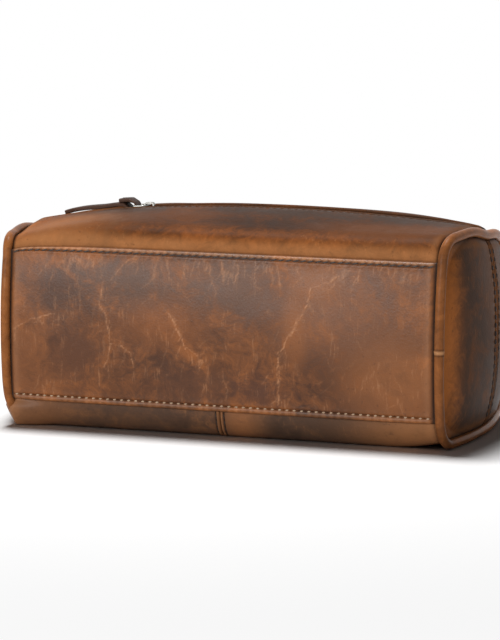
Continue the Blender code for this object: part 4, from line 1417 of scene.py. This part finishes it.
stop_left = ZIP_LEFT - GAP
stop_right = ZIP_RIGHT + GAP
for face, sign in BODIES.items():
    middle = ridge(stop_left) - CHAIN_DEPTH
    ys = sorted((-sign * STOP_INNER, -sign * TOOTH_ROOT))
    low = (stop_left - STOP_LENGTH, ys[0], middle - TOOTH_HALF)
    high = (stop_left, ys[1], middle + TOOTH_HALF)
    stop = rounded_block(f"top_stop_{face}_clamp", low, high, nickel, "bag")
    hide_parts(f"top_stop_{face}")
middle = ridge(stop_right) - CHAIN_DEPTH
low = (stop_right, -TOOTH_ROOT, middle - TOOTH_HALF)
high = (stop_right + STOP_LENGTH, TOOTH_ROOT, middle + TOOTH_HALF)
stop = rounded_block("bottom_stop_clamp", low, high, nickel, "bag")
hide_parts("bottom_stop")
TAB_REACH = LIP_EDGE + 0.0006


def across_ridge(y):
    """Place on the outline of a point beside the ridge, that far towards the back."""
    return math.copysign(lip_place(abs(y)), -y)


tab_spans = {
    "left": (-SIDE_EDGE, stop_left - STOP_LENGTH - END_TAB_GAP),
    "right": (stop_right + STOP_LENGTH + END_TAB_GAP, SIDE_EDGE),
}
for side_name, (left, right) in tab_spans.items():
    tab = cut_sheet(
        f"zip_end_{side_name}",
        even(left, right, 0.001),
        even(-TAB_REACH, TAB_REACH, 0.0008),
        *laid(1, across_ridge, -END_TAB_DEPTH, -END_TAB_DEPTH - LEATHER),
        top_leather,
        # The tabs are darkened towards the lips' edges: painted shade where the lips cover them.
        lambda x, y: {"groove": 0.6 * smooth(abs(y), LIP_EDGE - 0.0028, LIP_EDGE), "rub": 0.0},
        "bag",
    )
    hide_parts(f"zip_end_tab_{side_name}")


# The slider: a nickel body of two plates joined by a post, with a bridge on top that carries the pull.
# It stands on the zip's arc, so it is modelled level and then leaned to its place on the chain.
SLIDER_X = -0.058
SLIDER_HALF = 0.0055
SLIDER_WIDE = 0.0042
SLIDER_NARROW = 0.0033
SLIDER_PLATE = 0.0011
SLIDER_ROOM = 0.0003
SLIDER_CROWN = 0.0004
POST_LENGTH = 0.0036
POST_WIDTH = 0.0006
POST_INSET = 0.0022  # from the slider's right end to the middle of the post
BRIDGE_HALF = 0.0028
BRIDGE_WIDTH = 0.0012
BRIDGE_STRAP = 0.0008
RING_PIVOT_X = -0.0012
RING_PIVOT_UP = 0.0002
RING_WIRE = 0.0005
RING_HALF_WIDTH = 0.00485
RING_LENGTH = 0.0065
RING_CORNER = 0.0012
lean = Matrix.Translation((RIDGE_PEAK_X, 0, RIDGE_HEIGHT - RIDGE_RADIUS)) @ Matrix.Rotation(
    math.asin((SLIDER_X - RIDGE_PEAK_X) / RIDGE_RADIUS), 4, "Y"
)


def on_track(x, y, up):
    """A point given from the slider's middle and the ridge, leaned to its place on the arc."""
    return lean @ Vector((x, y, RIDGE_RADIUS + up))


def slider_width(x):
    """The plates are wide where the two combs come in and narrow where the closed chain leaves."""
    share = (x + SLIDER_HALF) / (2 * SLIDER_HALF)
    rounding = math.sqrt(max(0, 1 - abs(2 * share - 1) ** 6))
    width = SLIDER_NARROW + (SLIDER_WIDE - SLIDER_NARROW) * smooth(1 - share, 0.2, 0.9)
    return width * (0.55 + 0.45 * rounding)


plate_columns = even(-SLIDER_HALF, SLIDER_HALF, 0.0004)
plate_rows = even(-1, 1, 0.125)
inner_up = TOOTH_HALF + SLIDER_ROOM
outer_up = inner_up + SLIDER_PLATE
slider_parts = []
for plate, way in (("top", 1), ("under", -1)):
    def plate_point(x, row, up):
        crown = SLIDER_CROWN * (1 - row * row) * (1 - (x / SLIDER_HALF) ** 2)
        height = up + (crown - 0.0003 * row**6 if up == outer_up else 0)
        return on_track(x, row * slider_width(x), -CHAIN_DEPTH + way * height)

    part = cut_sheet(
        f"slider_{plate}_plate",
        plate_columns,
        plate_rows,
        lambda x, row: plate_point(x, row, outer_up),
        lambda x, row: plate_point(x, row, inner_up),
        nickel,
        None,
        "slider",
    )
    slider_parts.append(part)
mesh = bmesh.new()
post_middle = on_track(SLIDER_HALF - POST_INSET, 0, -CHAIN_DEPTH)
post_size = Vector((POST_LENGTH, POST_WIDTH, 2 * inner_up + SLIDER_PLATE))
bmesh.ops.create_cube(mesh, size=1, matrix=Matrix.LocRotScale(post_middle, lean.to_quaternion(), post_size))
slider_parts.append(finish_mesh("slider_post", mesh, nickel, "slider"))
for part in slider_parts:
    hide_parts("zip_slider")

bridge_foot = -CHAIN_DEPTH + outer_up + 0.0002
bridge_top = RING_PIVOT_UP + RING_WIRE + SLIDER_ROOM + BRIDGE_STRAP / 2


def bridge_point(t, row, out):
    """A point of the bridge's strap: t goes from one foot over the top to the other, row is across."""
    turn = math.pi * (1 - t)
    reach = BRIDGE_HALF - BRIDGE_STRAP / 2 + out
    rise = bridge_top - bridge_foot + out
    x = reach * math.copysign(abs(math.cos(turn)) ** 0.45, math.cos(turn))
    up = bridge_foot + rise * abs(math.sin(turn)) ** 0.45
    return on_track(x, row * BRIDGE_WIDTH, up)


bridge = cut_sheet(
    "slider_bridge_strap",
    even(0, 1, 0.03),
    even(-1, 1, 0.25),
    lambda t, row: bridge_point(t, row, BRIDGE_STRAP / 2 - 0.0001 * row**4),
    lambda t, row: bridge_point(t, row, -BRIDGE_STRAP / 2 + 0.0001 * row**4),
    nickel,
    None,
    "slider",
)
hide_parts("slider_bridge")


# The pull: a ring of nickel wire through the bridge, and a strip of dark leather doubled over the ring. The
# strip lies along the ridge towards the left end.
TAB_HALF_WIDTH = 0.0042
TAB_LENGTH = 0.038
TAB_DOUBLED = 0.0075
TAB_THICK = 0.0021
TAB_THIN = 0.0009
TAB_EYE = 0.0009
TAB_LIFT = 0.0003
TAB_DROOP = 0.0014
TAB_SAG = 0.0006
TAB_CELL = 0.0008
ring_spots = []
corner_places = (
    (-RING_CORNER, RING_HALF_WIDTH - RING_CORNER),
    (RING_CORNER - RING_LENGTH, RING_HALF_WIDTH - RING_CORNER),
    (RING_CORNER - RING_LENGTH, RING_CORNER - RING_HALF_WIDTH),
    (-RING_CORNER, RING_CORNER - RING_HALF_WIDTH),
)
for quarter, (x, y) in enumerate(corner_places):
    for turn in even(quarter * math.pi / 2, (quarter + 1) * math.pi / 2, math.pi / 12):
        spot = (x + RING_CORNER * math.cos(turn), y + RING_CORNER * math.sin(turn))
        ring_spots.append(on_track(RING_PIVOT_X + spot[0], spot[1], RING_PIVOT_UP))
wire = resampled(ring_spots, 0.0004)
up_axis = lean.to_3x3() @ Vector((0, 0, 1))
ring = round_tube("pull_ring_wire", wire, lambda index, turn: RING_WIRE, 12, up_axis, nickel)
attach(ring, "ring")
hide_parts("pull_ring")

eye_x = RING_PIVOT_X - RING_LENGTH
strip_foot = TAB_LIFT - RING_PIVOT_UP


def strip_droop(x):
    """How far the ridge has curved away under the strip, and the strip's own end with it."""
    curve = ((eye_x - x) ** 2 - eye_x**2) / (2 * RIDGE_RADIUS)
    sag = TAB_SAG * smooth(x, TAB_DOUBLED, 0.5 * TAB_LENGTH)
    return curve + sag + TAB_DROOP * (x / TAB_LENGTH) ** 6


def strip_path():
    """The strip's middle line from its cut end, round the ring and along the ridge: (x, up, thickness)."""
    upper, lower = strip_foot + 1.5 * TAB_THICK, strip_foot + 0.5 * TAB_THICK
    path = []
    for x in even(TAB_DOUBLED, 0.0022, 0.0006):
        path.append((-x, upper - strip_droop(x), TAB_THICK * 0.95))
    loop = TAB_EYE + TAB_THIN / 2 + 0.0001
    for degrees in even(72, -100, 8):
        turn = math.radians(degrees)
        stretch = 1 + 0.45 * smooth(degrees, 0, 72)
        path.append((loop * math.cos(turn), loop * stretch * math.sin(turn), TAB_THIN))
    for x in even(0.0030, 0.0060, 0.0006):
        share = smooth(x, 0.001, 0.0060)
        up = -loop + (lower + loop) * share - strip_droop(x)
        path.append((-x, up, TAB_THIN + (TAB_THICK - TAB_THIN) * share))
    for x in even(0.0066, TAB_LENGTH, TAB_CELL):
        path.append((-x, lower - strip_droop(x), TAB_THICK))
    return path


path = strip_path()
dark_leather = leather(
    "pull_leather",
    [(34, 22, 17), (46, 31, 25), (62, 42, 33), (92, 66, 52)],
    2.6,
    gloss=0.5,
    shine=0.1,
)


def strip_point(index, row, way):
    """A point of the strip: index counts along its path, row is across it, and way is 1 or -1 for a face."""
    x, up, thick = path[index]
    before, after = path[max(0, index - 1)], path[min(len(path) - 1, index + 1)]
    along = Vector((after[0] - before[0], after[1] - before[1])).normalized()
    out = Vector((along.y, -along.x)) * way
    edge = 0.5 * thick * (1 - 0.45 * abs(row) ** 8)
    last = (len(path) - 1 - index) * TAB_CELL
    corner = 1 - 0.16 * (1 - smooth(last, 0, 0.004))
    curl = 0.0002 * ripple(x, row, 1.0, 0.012)
    y = row * TAB_HALF_WIDTH * corner
    return on_track(eye_x + x + out.x * edge, y, RING_PIVOT_UP + up + out.y * edge + curl)


strip = cut_sheet(
    "pull_strip",
    list(range(len(path))),
    joined(even(-1, -0.8, 0.04), even(-0.8, 0.8, 0.1), even(0.8, 1, 0.04)),
    lambda index, row: strip_point(index, row, 1),
    lambda index, row: strip_point(index, row, -1),
    dark_leather,
    lambda index, row: {"rub": 0.5 * abs(row) ** 10, "groove": 0.0},
    "pull",
)
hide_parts("pull_tab")


# The lining: plain woven cloth glued and sewn inside, one wall each at the front, back and both ends and
# one piece over the base board. The lips have their own strips from the fold to the zip.
LINING = 0.0008
LINING_DEPTH = LEATHER + GAP
LINING_FOOT = 1.5
LINING_HEAD = 3.75
LINING_INSET = 0.009
LINING_CELL = 0.002
LIP_LINING_LEFT = -0.050
LIP_LINING_RIGHT = 0.0814
LIP_LINING_FROM = 0.0160  # from the middle of the zip
LIP_LINING_SHORT = 0.0044  # how far it stops short of the fold
LINING_END_INSET = 0.0045
LINING_END_HALF_Y = 0.0495
LINING_END_HALF_Z = 0.0395
LINING_END_MIDDLE = 0.0505
BOARD_TOP = 0.0056
LINING_BASE_HALF_X = 0.099
LINING_BASE_HALF_Y = 0.049
lining_cloth = woven("lining_weave", (74, 62, 50), (104, 90, 74), 170.0)


def crumple(x, y, z):
    """Small folds of loose cloth, always inwards."""
    return 0.0009 * (0.5 + 0.5 * ripple(x, y, z, 0.022))


lining_side = HALF_LENGTH - LINING_INSET
wall_rows = even(length_at(LINING_FOOT), length_at(LINING_HEAD), LINING_CELL)
for face, sign in BODIES.items():
    def lining_point(x, length, depth):
        fold = crumple(x, sign * 2.0, length)
        return shell(x, sign * place_at(length), -LINING_DEPTH - depth - fold)

    wall = cut_sheet(
        f"{face}_wall_lining",
        even(-lining_side, lining_side, LINING_CELL),
        wall_rows,
        lambda x, length: lining_point(x, length, 0),
        lambda x, length: lining_point(x, length, LINING),
        lining_cloth,
        None,
        "bag",
    )
    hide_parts(f"lining_{face}")
    length_at(LINING_HEAD) - length_at(LINING_FOOT)
    for half, (left, right, start) in HALVES.items():
        low, high = max(left, LIP_LINING_LEFT), min(right, LIP_LINING_RIGHT)
        strip_rows = even(LIP_LINING_FROM, SHOULDER_HALF - LIP_LINING_SHORT, LINING_CELL)
        under = cut_sheet(
            f"{face}_lip_{half}_lining",
            even(low, high, LINING_CELL),
            strip_rows,
            *laid(sign, lip_place, -LINING_DEPTH, -LINING_DEPTH - LINING),
            lining_cloth,
        )
        bend_open(under)
        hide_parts(f"{face}_lip_lining")
        high - low
        strip_rows[-1] - strip_rows[0]


def end_lining_point(side, y_share, z_share, depth):
    """A point of an end's lining, which hangs flatter than the leather. Shares go from -1 to 1."""
    squeeze = (1 - 0.5 * z_share * z_share) ** 0.5, (1 - 0.5 * y_share * y_share) ** 0.5
    y = y_share * squeeze[0] * LINING_END_HALF_Y
    z = LINING_END_MIDDLE + z_share * squeeze[1] * LINING_END_HALF_Z
    inwards = LINING_END_INSET + depth + crumple(y, z, side * 3.0)
    return Vector((side * (end_x(y) - inwards), y, z))


for side_name, side in SIDES.items():
    wall = cut_sheet(
        f"{side_name}_end_lining",
        even(-1, 1, 0.04),
        even(-1, 1, 0.04),
        lambda y, z: end_lining_point(side, y, z, 0),
        lambda y, z: end_lining_point(side, y, z, LINING),
        lining_cloth,
        None,
        "bag",
    )
    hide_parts(f"lining_{side_name}")
floor_cloth = cut_sheet(
    "base_lining",
    even(-LINING_BASE_HALF_X, LINING_BASE_HALF_X, LINING_CELL),
    even(-LINING_BASE_HALF_Y, LINING_BASE_HALF_Y, LINING_CELL),
    lambda x, y: Vector((x, y, BOARD_TOP + GAP + LINING + crumple(x, y, 5.0))),
    lambda x, y: Vector((x, y, BOARD_TOP + GAP + crumple(x, y, 5.0))),
    lining_cloth,
    None,
    "bag",
)
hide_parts("lining_base")


# What stays out of sight: the grey board that keeps the base flat, and the cotton cords inside the piping.
# They keep their own solids and get the finish of the real thing.
board = Finish("grey_board")
fibre = board.noise(board.place(), 220, 6, 0.7)
grey = board.mix(tone(118, 112, 102), tone(162, 155, 144), fibre)
board.coat(grey, 0.8 + fibre * 0.15, fibre, 0.2, 0.0003)
cotton = thread_finish("cotton_cord", (206, 194, 172))
kept = {"base_board": board.owner, "piping_cord_left": cotton, "piping_cord_right": cotton}
for node, material in kept.items():
    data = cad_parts[node].data
    data.materials.clear()
    data.materials.append(material)
